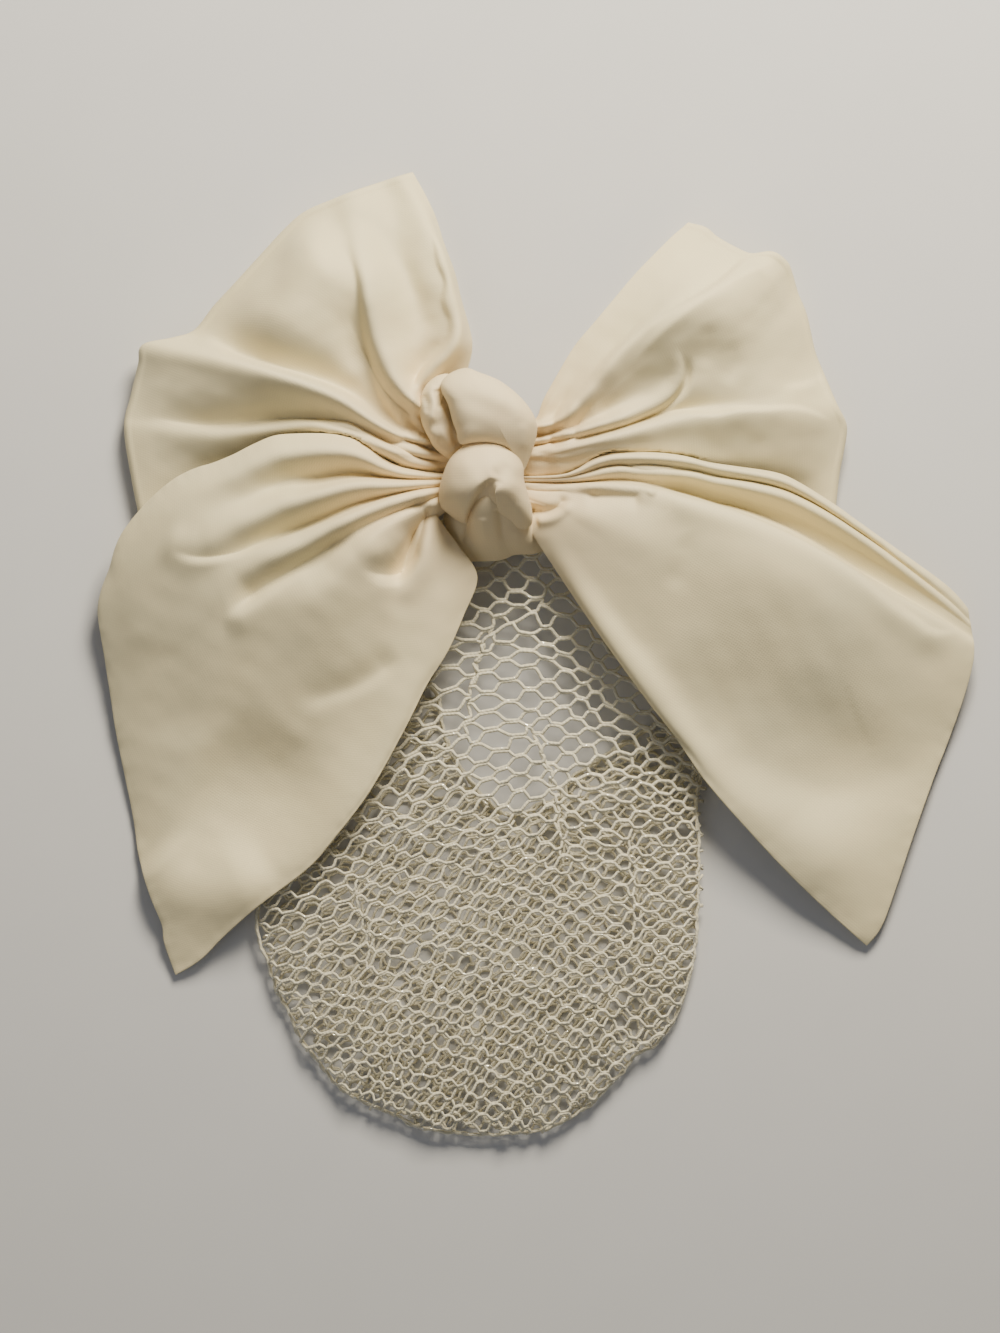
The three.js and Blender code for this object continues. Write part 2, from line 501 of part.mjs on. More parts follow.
add('upper_left_loop', loop(UPPER_LEFT_LOOP), CLOTH);
add('upper_right_loop', loop(UPPER_RIGHT_LOOP), CLOTH);
add('lower_left_tail', tail(LOWER_LEFT_TAIL, TAIL_WALL, TAIL_STEPS), CLOTH);
add('lower_right_tail', tail(LOWER_RIGHT_TAIL, TAIL_WALL, TAIL_STEPS), CLOTH);
add('knot_over', band(KNOT_OVER), CLOTH);
add('knot_under', band(KNOT_UNDER), CLOTH);
add('knot_lip', band(KNOT_LIP), CLOTH);
add('knot_tuck', band(KNOT_TUCK), CLOTH);
add('knot_strip', tail(KNOT_STRIP, STRIP_WALL, STRIP_STEPS), CLOTH);
add('net_bag', netBag(), KNIT);
add('barrette', barrette(), METAL);

// The origin is below the middle of the whole piece, on the floor.
const bounds = new THREE.Box3().setFromObject(model, true);
const middle = bounds.getCenter(new THREE.Vector3());
for (const mesh of model.children) mesh.position.set(-middle.x, -middle.y, -bounds.min.z);

export default model;
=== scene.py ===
# %% [markdown]
# # A hair net with a tied bow
# The object is a large bow of cream cloth, knotted over a hair clip, with a knitted net bag below
# it that holds a bun. It lies on its back and is seen from straight above. Every piece here is a
# surface worked out with numpy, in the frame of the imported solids, so that each one sits where its
# solid is. The tables of this file are in millimetres, with the knot at (-12, 47), and a shift puts
# that spot over the middle of the clip.

import bpy
import numpy as np
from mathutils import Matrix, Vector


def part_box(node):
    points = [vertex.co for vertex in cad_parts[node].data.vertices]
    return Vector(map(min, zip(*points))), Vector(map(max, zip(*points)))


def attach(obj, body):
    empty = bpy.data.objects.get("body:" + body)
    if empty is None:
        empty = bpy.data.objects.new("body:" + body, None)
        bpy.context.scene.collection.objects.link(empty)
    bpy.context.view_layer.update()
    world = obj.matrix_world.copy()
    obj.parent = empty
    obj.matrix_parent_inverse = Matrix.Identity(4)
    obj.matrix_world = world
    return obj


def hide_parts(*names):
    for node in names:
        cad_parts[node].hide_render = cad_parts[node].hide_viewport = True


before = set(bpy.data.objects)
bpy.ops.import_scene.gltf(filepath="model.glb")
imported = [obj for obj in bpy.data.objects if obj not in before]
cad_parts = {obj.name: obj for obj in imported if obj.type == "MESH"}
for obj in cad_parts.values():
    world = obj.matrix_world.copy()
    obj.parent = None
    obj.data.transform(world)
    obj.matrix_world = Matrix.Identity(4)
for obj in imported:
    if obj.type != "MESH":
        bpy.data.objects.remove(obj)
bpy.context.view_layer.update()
MM = 0.001
KNOT_SPOT = np.array([-12.0, 47.0])
clip_low, clip_high = (np.array(corner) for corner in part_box("barrette"))
shift_mm = (clip_low + clip_high)[:2] / 2 / MM - KNOT_SPOT
print("the tables' origin lies at", shift_mm.round(3), "mm in the frame")

# %% [markdown]
# ## Lines and surfaces from short tables
# Cloth is described by its folds: each row of a table is a line that leaves the knot and runs to
# the end of the cloth. A smooth curve goes through the points of a row, and a smooth curve goes
# across the rows. A straight chain of points would give facets, and a least-squares surface would
# miss the folds, so curves that pass through every point are used.


# %% Smooth curves
def smooth_line(points, share):
    """Catmull-Rom curve through points along axis 0, at shares from 0 to 1 of the way: between two
    points it is the cubic whose slope at each is half the step between its neighbours."""
    points = np.asarray(points, float)
    ends = 2 * points[:1] - points[1:2], 2 * points[-1:] - points[-2:-1]
    padded = np.concatenate([ends[0], points, ends[1]])
    place = np.clip(np.asarray(share, float), 0, 1) * (len(points) - 1)
    first = np.minimum(place.astype(int), len(points) - 2)
    f = (place - first).reshape(place.shape + (1,) * (points.ndim - 1))
    a, b, c, d = (padded[first + i] for i in range(4))
    return 0.5 * (2 * b + (c - a) * f + (2 * a - 5 * b + 4 * c - d) * f**2 + (3 * b - a - 3 * c + d) * f**3)


def along_length(points):
    """Share of a line's length reached at each of its points."""
    steps = np.linalg.norm(np.diff(points, axis=0), axis=1)
    reached = np.concatenate([[0], np.cumsum(steps)])
    return reached / reached[-1]


def line_at(points, share, steps):
    """The smooth curve through points, at shares of its length, which is measured in small steps."""
    fine = smooth_line(points, np.linspace(0, 1, steps * len(points)))
    reached = along_length(fine)
    return np.stack([np.interp(share, reached, column) for column in fine.T], axis=1)


def even_line(points, count):
    """The smooth curve through points, at count places evenly spread over its length."""
    return line_at(points, np.linspace(0, 1, count), steps=24)


def soft(low, high, x):
    """A change from 0 to 1 between two values, with level ends: 3 t^2 - 2 t^3."""
    t = np.clip((np.asarray(x, float) - low) / (high - low), 0, 1)
    return t * t * (3 - 2 * t)


RIPPLE_RATES, RIPPLE_PEAK = (0.6, 1.5), 1.4


def ripple(x, y, pitch, seed, waves=9):
    """Gentle unevenness from -1 to 1: a sum of sine waves in seeded directions, about pitch long."""
    random = np.random.default_rng(seed)
    turn, phase = random.uniform(0, 2 * np.pi, (2, waves))
    rate = 2 * np.pi / pitch * random.uniform(*RIPPLE_RATES, waves)
    total = sum(
        np.sin(rate[i] * (np.cos(turn[i]) * x + np.sin(turn[i]) * y) + phase[i]) for i in range(waves)
    )
    return total / waves**0.5 / RIPPLE_PEAK


def uneven(x, y, seed, *layers):
    """The sum of ripples, each given by its height and its pitch."""
    return sum(height * ripple(x, y, pitch, seed + i) for i, (height, pitch) in enumerate(layers))


# %% [markdown]
# ## Strokes: ridges, creases and pleats along a line
# A fold on cloth is a ridge on one side of a line and a hollow on the other. A stroke measures how
# far each point of a surface is from a drawn line, and on which side, so one helper gives a sharp
# crease, a soft roll, or a fold that laps over its neighbour.


# %% Signed distance to a drawn line
def from_line(x, y, line, count=90):
    """Signed distance to a smooth line (positive on its left), the share of the line that is
    nearest, and how far a point lies beyond the line's ends."""
    points = even_line(line, count)
    way = np.gradient(points, axis=0)
    step = np.linalg.norm(way, axis=1)
    way = way / step[:, None]
    flat_x, flat_y = np.ravel(x), np.ravel(y)
    gap = (flat_x[:, None] - points[:, 0]) ** 2 + (flat_y[:, None] - points[:, 1]) ** 2
    near = gap.argmin(axis=1)
    dx, dy = flat_x - points[near, 0], flat_y - points[near, 1]
    side = way[near, 0] * dy - way[near, 1] * dx
    ahead = way[near, 0] * dx + way[near, 1] * dy
    share = (near + ahead / step[near]) / (count - 1)
    beyond = np.maximum(0, np.where(near == 0, -ahead, np.where(near == count - 1, ahead, 0)))
    shape = np.shape(x)
    return side.reshape(shape), np.clip(share, 0, 1).reshape(shape), beyond.reshape(shape)


def stroke_height(x, y, line, rise, left, right, fade):
    """rise * exp(-(distance / width)^2), with its own width on the line's left and right. The
    rise goes from its first to its last value along the line and fades at both ends."""
    side, share, beyond = from_line(x, y, line)
    width = np.where(side > 0, left, right)
    height = np.interp(share, [0, 1], rise)
    height *= np.exp(-((side / width) ** 2) - (beyond / max(left, right)) ** 2)
    started = soft(0, fade[0], share) if fade[0] else 1.0
    ended = soft(1, 1 - fade[1], share) if fade[1] else 1.0
    return height * started * ended


def all_strokes(x, y, strokes):
    """The sum of a table of strokes: (line, rise, width on the left, width on the right, fade)."""
    return sum(stroke_height(x, y, *stroke) for stroke in strokes)


# %% [markdown]
# ## From grids of points to closed meshes
# Cloth has two faces and a rounded edge. Two grids that face each other are joined by rings of
# points on half an ellipse, so that the edge is round like a turned seam and shows no bright bevel.
# Blender's Solidify could thicken one grid, but it can't make a sewn sash that is puffed in the
# middle and thin at its edges.


# %% Faces and mesh objects
def grid_faces(corner):
    """Quads between the neighbours of a grid of corner numbers."""
    return np.stack([corner[:-1, :-1], corner[1:, :-1], corner[1:, 1:], corner[:-1, 1:]], -1).reshape(-1, 4)


def band_faces(one, other):
    """Quads between two closed rows of corner numbers of equal length."""
    return np.stack([one, np.roll(one, -1), np.roll(other, -1), other], -1)


def in_scene(name, data):
    """A new object of the scene, at the origin, that holds a mesh, a lamp or a camera."""
    made = bpy.data.objects.new(name, data)
    bpy.context.scene.collection.objects.link(made)
    return made


def put_mesh(name, points, faces, uv=None):
    """A mesh object from points in table millimetres and a list of faces; uv is one pair per point."""
    placed = np.array(points, float)
    placed[:, :2] += shift_mm
    mesh = bpy.data.meshes.new(name)
    mesh.from_pydata((placed * MM).tolist(), [], [tuple(f) for f in faces])
    mesh.polygons.foreach_set("use_smooth", np.ones(len(mesh.polygons), bool))
    if uv is not None:
        corner = np.empty(len(mesh.loops), np.int32)
        mesh.loops.foreach_get("vertex_index", corner)
        mesh.uv_layers.new(name="cloth").data.foreach_set("uv", np.asarray(uv, float)[corner].ravel())
    mesh.update()
    return in_scene(name, mesh)


def signed_volume(points, faces):
    """Six times the volume inside quads: positive where they face outwards."""
    a, b, c, d = (points[faces[:, i]] for i in range(4))
    return np.einsum("ij,ij->", a, np.cross(b, c)) + np.einsum("ij,ij->", a, np.cross(c, d))


def unit(vectors):
    """The same directions, each with length 1."""
    return vectors / np.maximum(np.linalg.norm(vectors, axis=-1, keepdims=True), 1e-9)


# %% A sheet with a rounded rim
RIM_ANGLES = np.radians([30, 60, 90, 120, 150])
RIM_REACH = 0.4


def walked(grid, axis):
    """Distance in plan from the first row or column of a grid, added up step by step."""
    steps = np.linalg.norm(np.diff(grid[..., :2], axis=axis), axis=2)
    return np.insert(np.cumsum(steps, axis=axis), 0, 0, axis=axis)


def shell(name, front, back):
    """A closed sheet from a front and a back grid, joined by a round rim of rings:
    middle + out * distance * reach * sin(angle) + (front - back) / 2 * cos(angle)."""
    rows, columns = front.shape[:2]
    count = rows * columns
    corner = np.arange(count).reshape(rows, columns)
    ring = np.concatenate([corner[0, :-1], corner[:-1, -1], corner[-1, :0:-1], corner[:0:-1, 0]])
    inward = np.pad(corner[1:-1, 1:-1], 1, mode="edge").ravel()[ring]
    middle = ((front + back) / 2).reshape(-1, 3)
    half_way = ((front - back) / 2).reshape(-1, 3)[ring]
    apart = 2 * np.linalg.norm(half_way, axis=1, keepdims=True)
    out = unit(middle[ring] - middle[inward])
    rims = [middle[ring] + out * apart * RIM_REACH * np.sin(a) + half_way * np.cos(a) for a in RIM_ANGLES]
    points = np.concatenate([front.reshape(-1, 3), back.reshape(-1, 3), *rims])
    rings = [ring, *(2 * count + np.arange(len(rims) * len(ring)).reshape(len(rims), -1)), ring + count]
    bands = [band_faces(one, other) for one, other in zip(rings, rings[1:])]
    faces = np.concatenate([grid_faces(corner), grid_faces(corner + count)[:, ::-1], *bands])
    if signed_volume(points, faces) < 0:
        faces = faces[:, ::-1]
    across, along = (walked(middle.reshape(front.shape), axis) for axis in (1, 0))
    flat = np.stack([across - across[:, -1:] / 2, along], -1).reshape(-1, 2) * MM
    return put_mesh(name, points, faces, uv=np.concatenate([flat, flat, *[flat[ring]] * len(rims)]))


# %% [markdown]
# ## Shader expressions
# The looks are built as formulas on the surface. A small class wraps a node's socket, so that
# `1 - mask` or `wave * 0.2 + tone` adds the Math nodes for it, and the recipe of a material reads
# like a formula.


# %% Sockets that can be added and multiplied
def plug(tree, slot, item):
    """Links a socket to an input, or sets the input to a plain number, vector or colour."""
    if isinstance(item, Value):
        tree.links.new(item.socket, slot)
    else:
        slot.default_value = item


class Value:
    """A socket of a material's node tree that takes part in Python expressions."""

    def __init__(self, tree, socket):
        self.tree, self.socket = tree, socket

    def math(self, operation, *items):
        """A Math node with values and numbers in its inputs, in their order."""
        node = self.tree.nodes.new("ShaderNodeMath")
        node.operation = operation
        for slot, item in zip(node.inputs, items):
            plug(self.tree, slot, item)
        return Value(self.tree, node.outputs[0])

    def __add__(self, other):
        return self.math("ADD", self, other)

    def __mul__(self, other):
        return self.math("MULTIPLY", self, other)

    def __sub__(self, other):
        return self.math("SUBTRACT", self, other)

    def __rsub__(self, other):
        return self.math("SUBTRACT", other, self)

    __radd__, __rmul__ = __add__, __mul__


# %% A material and its nodes
class Finish:
    """A material with one Principled shader; node() adds any node and returns its outputs."""

    def __init__(self, name, **constants):
        self.material = bpy.data.materials.new(name)
        self.material.use_nodes = True
        self.tree = self.material.node_tree
        self.shader = self.tree.nodes["Principled BSDF"]
        for socket, value in constants.items():
            self.shader.inputs[socket.replace("_", " ")].default_value = value

    def node(self, kind, settings=None, **inputs):
        """Settings are set first. An input goes by its name, or as i and its number: i0, i1."""
        made = self.tree.nodes.new("ShaderNode" + kind)
        for name, value in (settings or {}).items():
            setattr(made, name, value)
        for name, item in inputs.items():
            slot = int(name[1:]) if name[1:].isdigit() else name.replace("_", " ")
            plug(self.tree, made.inputs[slot], item)
        return {socket.name: Value(self.tree, socket) for socket in made.outputs if socket.enabled}

    def place(self, scale=(1, 1, 1), uv=False):
        """Object coordinates, or the cloth's own map, in metres times scale."""
        source = self.node("TexCoord")["UV" if uv else "Object"]
        return self.node("Mapping", Vector=source, Scale=scale)["Vector"]

    def noise(self, where, size, detail):
        """Cloudy noise from 0 to 1, with lumps about size metres across."""
        return self.node("TexNoise", Vector=where, Scale=1 / size, Detail=detail)["Fac"]

    def bands(self, where, direction, rate, distortion, detail):
        """Light and dark bands across one direction, from 0 to 1."""
        settings = {"wave_type": "BANDS", "bands_direction": direction}
        return self.node(
            "TexWave", settings, Vector=where, Scale=rate, Distortion=distortion, Detail=detail)["Fac"]

    def change(self, value, start, stop, first, last):
        """A straight change from first to last while the value goes from start to stop."""
        return self.node(
            "MapRange", Value=value, From_Min=start, From_Max=stop, To_Min=first, To_Max=last)["Result"]

    def mix(self, factor, one, other):
        """A colour between one and the other; each is a colour or a socket."""
        pair = [c if isinstance(c, Value) else (*c, 1) for c in (one, other)]
        return self.node("Mix", {"data_type": "RGBA"}, i0=factor, i6=pair[0], i7=pair[1])["Result"]

    def bump(self, height, strength, distance):
        """Small relief: height times distance, in metres, on the shader's Normal."""
        self.set(Normal=self.node("Bump", Height=height, Strength=strength, Distance=distance)["Normal"])

    def set(self, **inputs):
        """Links values that change over the surface to the shader's sockets of those names."""
        for name, value in inputs.items():
            self.tree.links.new(value.socket, self.shader.inputs[name.replace("_", " ")])


# %% [markdown]
# ## Cream cloth
# The bow is cut from a smooth woven polyester with a soft sheen. Up close it has a fine weave; from
# further away it shows broad, faint clouds of warmer and greyer cream. Near the knot a painted peach
# glow stands for light bounced between the many layers that meet there. A weave drawn on the cloth's
# own map follows the folds, while the clouds read Object coordinates, so they don't repeat from piece
# to piece.

# %% Cloth material
# the peach colour is painted light: the warm glow of light bounced between the layers gathered at the knot
CREAM, CREAM_GREY, BOUNCE_PEACH = (0.79, 0.69, 0.43), (0.68, 0.62, 0.41), (0.86, 0.64, 0.41)
THREAD_SHADE, SPECK_BROWN = (0.50, 0.44, 0.34), (0.16, 0.12, 0.08)
CLOUD_SIZE, MOTTLE_SIZE, SLUB_SIZE, SPECK_SPACING = 0.045, 0.009, 0.0022, 0.034
BOUNCE_FULL_WITHIN, BOUNCE_GONE_AT, BOUNCE_STRENGTH = 0.008, 0.05, 0.55
SPECK_CORE, SPECK_EDGE, SPECK_STRENGTH = 0.006, 0.012, 0.5
WEAVE_PITCH = 0.00032
WEAVE_RATE = 1 / WEAVE_PITCH / 6.28
knot_place = np.append((KNOT_SPOT + shift_mm) * MM, 0.02)


def woven_cloth(name):
    """Base colour = cream, greyed by clouds; painted bounce light warms it near the knot. Bump = weave +
    slubs.
    """
    cloth = Finish(name, Sheen_Weight=0.10, Sheen_Roughness=0.45, Specular_IOR_Level=0.28)
    where = cloth.place()
    clouds = cloth.noise(where, CLOUD_SIZE, 2)
    mottle = cloth.noise(where, MOTTLE_SIZE, 3)
    here = cloth.node("TexCoord")["Object"]
    away = cloth.node("VectorMath", {"operation": "DISTANCE"}, i0=here, i1=tuple(knot_place))["Value"]
    # painted peach bounce light: full within 8 mm of the knot's spot, gone at 50 mm
    painted_bounce = cloth.change(away, BOUNCE_FULL_WITHIN, BOUNCE_GONE_AT, BOUNCE_STRENGTH, 0.0)
    greyed = cloth.mix((clouds - 0.35) * 1.6 + (mottle - 0.5) * 0.3, CREAM, CREAM_GREY)
    bounce_tinted = cloth.mix(painted_bounce * (0.5 + mottle), greyed, BOUNCE_PEACH)
    fabric = cloth.place(uv=True)
    weave = cloth.bands(fabric, "X", WEAVE_RATE, 0.6, 1.0) * cloth.bands(fabric, "Y", WEAVE_RATE, 0.6, 1.0)
    slubs = cloth.noise(fabric, SLUB_SIZE, 2)
    spots = cloth.node("TexVoronoi", {"feature": "F1"}, Vector=where, Scale=1 / SPECK_SPACING)["Distance"]
    specks = cloth.change(spots, SPECK_CORE, SPECK_EDGE, SPECK_STRENGTH, 0.0)
    shaded = cloth.mix(specks, bounce_tinted, SPECK_BROWN)
    toned = cloth.mix(weave * 0.10, shaded, THREAD_SHADE)
    cloth.set(Base_Color=toned, Roughness=0.56 + 0.14 * mottle + 0.05 * weave)
    cloth.bump(weave * 0.5 + slubs * 0.6 + mottle * 1.4, strength=0.35, distance=0.00012)
    return cloth.material


bow_cloth = woven_cloth("cream_bow_cloth")
print("made", bow_cloth.name)

# %% [markdown]
# ## Tails and loops of the bow
# Each wing of the bow is one table of folds, close to those of the solids, and one outline that its
# edges are pulled to. The strokes then add what the solids are too coarse for: sharp laps, the
# pleats that run into the knot, and the dents of the broad panels. A row of a table is a fold's name
# and five points: at the knot, near it, midway, far out and at the end.

# %% The wings' folds, from the knot to the end
UPPER_LEFT_LOOP = [
    ("low_edge", (-14, 45.4, 14), (-37, 44, 18.5), (-60, 43.5, 13), (-82, 38, 7), (-97, 33, 5)),
    ("low_slope", (-14, 48.7, 17), (-36, 48.9, 21.6), (-56.5, 52, 17), (-80, 47.5, 11), (-100, 45, 5.5)),
    ("low_ridge", (-14, 49.4, 18), (-35.5, 51.2, 24), (-56.5, 57, 21), (-79, 54.5, 15.5), (-101.5, 56, 6)),
    ("low_valley", (-14, 50, 17), (-35.5, 53.2, 22.4), (-57.5, 59.3, 19.5), (-78, 58.3, 14),
     (-101, 61, 5.5)),
    ("lap_slope", (-14, 50.6, 15), (-35, 54.3, 23), (-54.5, 62, 22), (-76, 65.5, 19), (-99.5, 69.5, 6.5)),
    ("lap_ridge", (-14, 51.2, 15.6), (-34.5, 55.2, 25), (-50.5, 64.4, 25.6), (-68, 70.4, 24),
     (-95.5, 78, 9)),
    ("bowl_foot", (-14, 51.8, 14), (-34, 57, 20.5), (-49.5, 67, 21), (-66, 73.2, 20), (-84, 81, 6.5)),
    ("bowl_left", (-14, 52.4, 14.2), (-34, 59, 19.5), (-47, 72.5, 22.2), (-62, 84, 24.2), (-72, 94, 9)),
    ("bowl_right", (-14, 53, 14.6), (-33.8, 60.8, 20), (-44.5, 77, 22), (-54, 96, 24.6),
     (-59.8, 108.5, 11)),
    ("crest_foot", (-14, 53.6, 14.6), (-33.8, 62.2, 21), (-41.8, 76, 21.5), (-45.5, 95, 23.4),
     (-52, 112, 12)),
    ("crest", (-14, 54.2, 15.6), (-32, 63.2, 25.5), (-38.2, 77, 26), (-41.4, 95, 25.4), (-45.6, 114.3, 13)),
    ("hem_valley", (-14, 54.8, 14.8), (-30, 64, 21.5), (-29, 79, 21), (-32, 97, 19.6), (-38, 117, 9.5)),
    ("hem_ridge", (-14, 55.6, 14.8), (-27.5, 65.5, 21.5), (-19.5, 78.5, 25), (-23.5, 99, 22),
     (-33, 118.8, 10)),
    ("inner_edge", (-14, 56.6, 13.8), (-20.5, 65.5, 15.5), (-16.2, 79.5, 17), (-20.3, 97, 15),
     (-29.8, 119.6, 8)),
]
UPPER_RIGHT_LOOP = [
    ("inner_edge", (-10.5, 55.6, 13.8), (2.5, 61.5, 17.5), (12, 79.5, 18), (25, 95, 15), (37.5, 107.8, 7)),
    ("edge_valley", (-10.5, 54.9, 14.4), (4.6, 61.3, 18.5), (16, 78.3, 19.5), (29, 93.3, 17.5),
     (41.4, 106, 8)),
    ("back_panel", (-10.5, 54.2, 15), (6.8, 61, 21), (20, 77, 23), (34, 92, 21), (46.4, 103, 9)),
    ("long_ridge", (-10.5, 53.5, 15.6), (9, 60.6, 24.5), (23.5, 77, 27.5), (39, 89.5, 27), (53, 99.8, 12)),
    ("long_slope", (-10.5, 52.8, 14.8), (11, 59.4, 22.5), (27, 73, 26), (46, 86, 26.5), (59.2, 99.8, 12)),
    ("hollow", (-10.5, 52.1, 14.2), (12.5, 58, 21.6), (29, 67.6, 22.8), (50.5, 80, 23.2), (63.9, 93, 9)),
    ("hook_ridge", (-10.5, 51.4, 15.6), (13.5, 56.6, 24), (33, 64, 23), (54, 73.5, 20.5), (67.2, 82, 7.5)),
    ("hook_valley", (-10.5, 50.7, 14.6), (14.5, 55.2, 21.5), (37, 61.4, 21), (57, 65.5, 19.6),
     (70.2, 71.2, 6.5)),
    ("low_ridge", (-10.5, 50, 15.6), (15.5, 53.6, 24.4), (38.5, 58.6, 22.6), (58.5, 60.8, 19.6),
     (74.5, 62.2, 8.5)),
    ("low_slope", (-10.5, 49.3, 18), (16.5, 51.8, 23.4), (40, 54, 20.8), (60, 54.5, 17), (76.6, 56, 6.6)),
    ("low_valley", (-10.5, 48.4, 17.5), (17.5, 49, 21.6), (40, 48.5, 18), (60, 46.5, 12.6),
     (74.8, 46, 5.6)),
    ("low_edge", (-10.5, 44.6, 15), (17.5, 44.5, 19), (40, 44.5, 13), (58, 40.5, 7), (73.6, 36.5, 5)),
]
LOWER_LEFT_TAIL = [
    ("top_edge", (-14, 46.4, 14.4), (-37, 48.6, 22.6), (-60, 55, 21.5), (-90, 44, 15), (-109, 14, 6)),
    ("top_ridge", (-14, 45.9, 15.6), (-37, 46.6, 26), (-60, 50, 26), (-88, 38.6, 19), (-109.3, 8, 6)),
    ("top_valley", (-14, 45.4, 14.4), (-37, 44.3, 22), (-57, 44.5, 20.5), (-85, 33, 21.2), (-108.8, 1, 5)),
    ("second_ridge", (-14, 44.9, 15.6), (-37, 42.2, 25.5), (-58, 38.5, 26.5), (-83, 27, 22.4),
     (-107.5, -8, 4)),
    ("second_valley", (-14, 44.4, 14.4), (-37, 39.8, 22), (-58, 32.5, 21.5), (-80.5, 21, 21.4),
     (-106, -17, 3)),
    ("third_ridge", (-14, 43.9, 15.6), (-37, 37.4, 25.5), (-57, 28, 26.5), (-78, 15, 21.4),
     (-104.5, -27, 2)),
    ("third_valley", (-14, 43.4, 14.4), (-36, 35, 22.5), (-53, 25, 22.5), (-73, 8, 20.2),
     (-102.5, -36, 1.6)),
    ("fourth_ridge", (-14, 42.9, 15.6), (-35, 32.5, 25.5), (-49, 19, 25.5), (-67, 0, 18),
     (-100.5, -45, 1.6)),
    ("slope", (-14, 42.5, 14.8), (-33, 29.7, 23), (-41, 13, 22), (-59, -16, 13), (-98, -55, 2.5)),
    ("pocket", (-14, 42.1, 14.2), (-30.5, 28.4, 17.5), (-34, 10, 19), (-51, -26, 11.8), (-95.5, -64, 3)),
    ("pocket_lip", (-14, 41.7, 15), (-28, 32, 21.5), (-24, 14, 19), (-46, -36, 15), (-93, -72, 2.2)),
    ("inner_edge", (-14, 41.2, 14.4), (-25, 35.6, 18.5), (-15.6, 19.8, 17), (-43.5, -37, 15.5),
     (-90, -79.6, 1.4)),
]
LOWER_RIGHT_TAIL = [
    ("top_edge", (-10.5, 45.8, 14.4), (16, 49.6, 21.5), (44, 47.8, 19.5), (78, 35.2, 12.5),
     (108.8, 12, 5.5)),
    ("top_ridge", (-10.5, 45.3, 15.6), (17, 48.7, 23.5), (45, 46.6, 21.5), (78, 34.2, 14.4),
     (109.4, 10.6, 5.5)),
    ("top_valley", (-10.5, 44.8, 14.6), (18, 47.3, 21.8), (46, 44.8, 19.4), (78, 32.8, 13), (109.6, 9, 5)),
    ("second_ridge", (-10.5, 44.3, 15.6), (19, 46, 23.4), (46, 43.2, 22), (77.5, 31.6, 16), (109.7, 8, 5)),
    ("second_valley", (-10.5, 43.8, 14.6), (20, 44.4, 20.8), (46, 40.8, 17.8), (77, 28.4, 12.8),
     (109.7, 6.8, 4.6)),
    ("panel_foot", (-10.5, 43.5, 14.6), (21, 42.9, 21), (46, 37.2, 17.6), (76.5, 23.2, 12.6),
     (109.6, 4.6, 4.6)),
    ("panel_crest", (-10.5, 43.1, 15.6), (21, 41.6, 24.6), (46, 36, 23.6), (76.5, 21.6, 18.6),
     (109.2, 2, 6)),
    ("panel_top", (-10.5, 42.8, 15.2), (19, 38.5, 24), (45, 31, 25.8), (74.5, 13, 20.4), (107.6, -11, 4.6)),
    ("panel_high", (-10.5, 42.3, 14.8), (15, 34.5, 24), (41, 22, 24.6), (69.5, 1, 17), (103.8, -22, 3)),
    ("panel_middle", (-10.5, 41.8, 14.4), (11, 33, 22.5), (35, 12, 21.4), (62, -12, 12.6), (100, -32, 2.6)),
    ("panel_low", (-10.5, 41.3, 14.2), (7, 32.3, 21), (28, 3, 18.5), (56, -23, 11.8), (96, -43, 3.6)),
    ("edge_roll", (-10.5, 40.8, 14.2), (4, 32, 19.5), (22, 0, 18.5), (50, -33, 12.5), (91, -56, 3)),
    ("inner_edge", (-10.5, 40.3, 14), (1.2, 31.2, 17.5), (16, 6, 16.5), (44, -33, 12.5),
     (83.5, -72.2, 1.4)),
]


# %% Cloth between the folds
def wing_surface(table, along, across):
    """Points (along, across, 3): a smooth curve along each fold, then a smooth curve across."""
    folds = np.array([points for _, *points in table], float)
    lines = smooth_line(folds.transpose(1, 0, 2), along)
    return smooth_line(lines.transpose(1, 0, 2), across).transpose(1, 0, 2)


SIDE_POWER, END_POWER = 3.0, 4


def edge_move(line, drawn):
    """How far each point of an edge is, in plan, from the drawn line at the same share of length."""
    return line_at(drawn, along_length(line[:, :2]), steps=40) - line[:, :2]


def pull_to_outline(grid, edges):
    """Moves the edges of a wing, in plan, to finely drawn outlines, and the cloth beside them by the
    share of the way to that edge, to the power 3 at the sides and 4 at the end."""
    rows, columns = grid.shape[:2]
    s = np.linspace(0, 1, rows)[:, None, None]
    t = np.linspace(0, 1, columns)[None, :, None]
    moved = grid.copy()
    moved[..., :2] += s**END_POWER * edge_move(grid[-1], edges["end"])[None]
    for side, place, weight in (("first", 0, 1 - t), ("last", -1, t)):
        if side in edges:
            moved[..., :2] += weight**SIDE_POWER * edge_move(moved[:, place], edges[side])[:, None]
    return moved


# %% [markdown]
# ## The outlines and strokes of the four wings
# Outlines are drawn as a maker would chalk them: a few points along each edge of the cloth. Each
# stroke is a line with its rise in millimetres, then its width to the left and to the right of the
# line as it runs, and how much of it fades in and out.

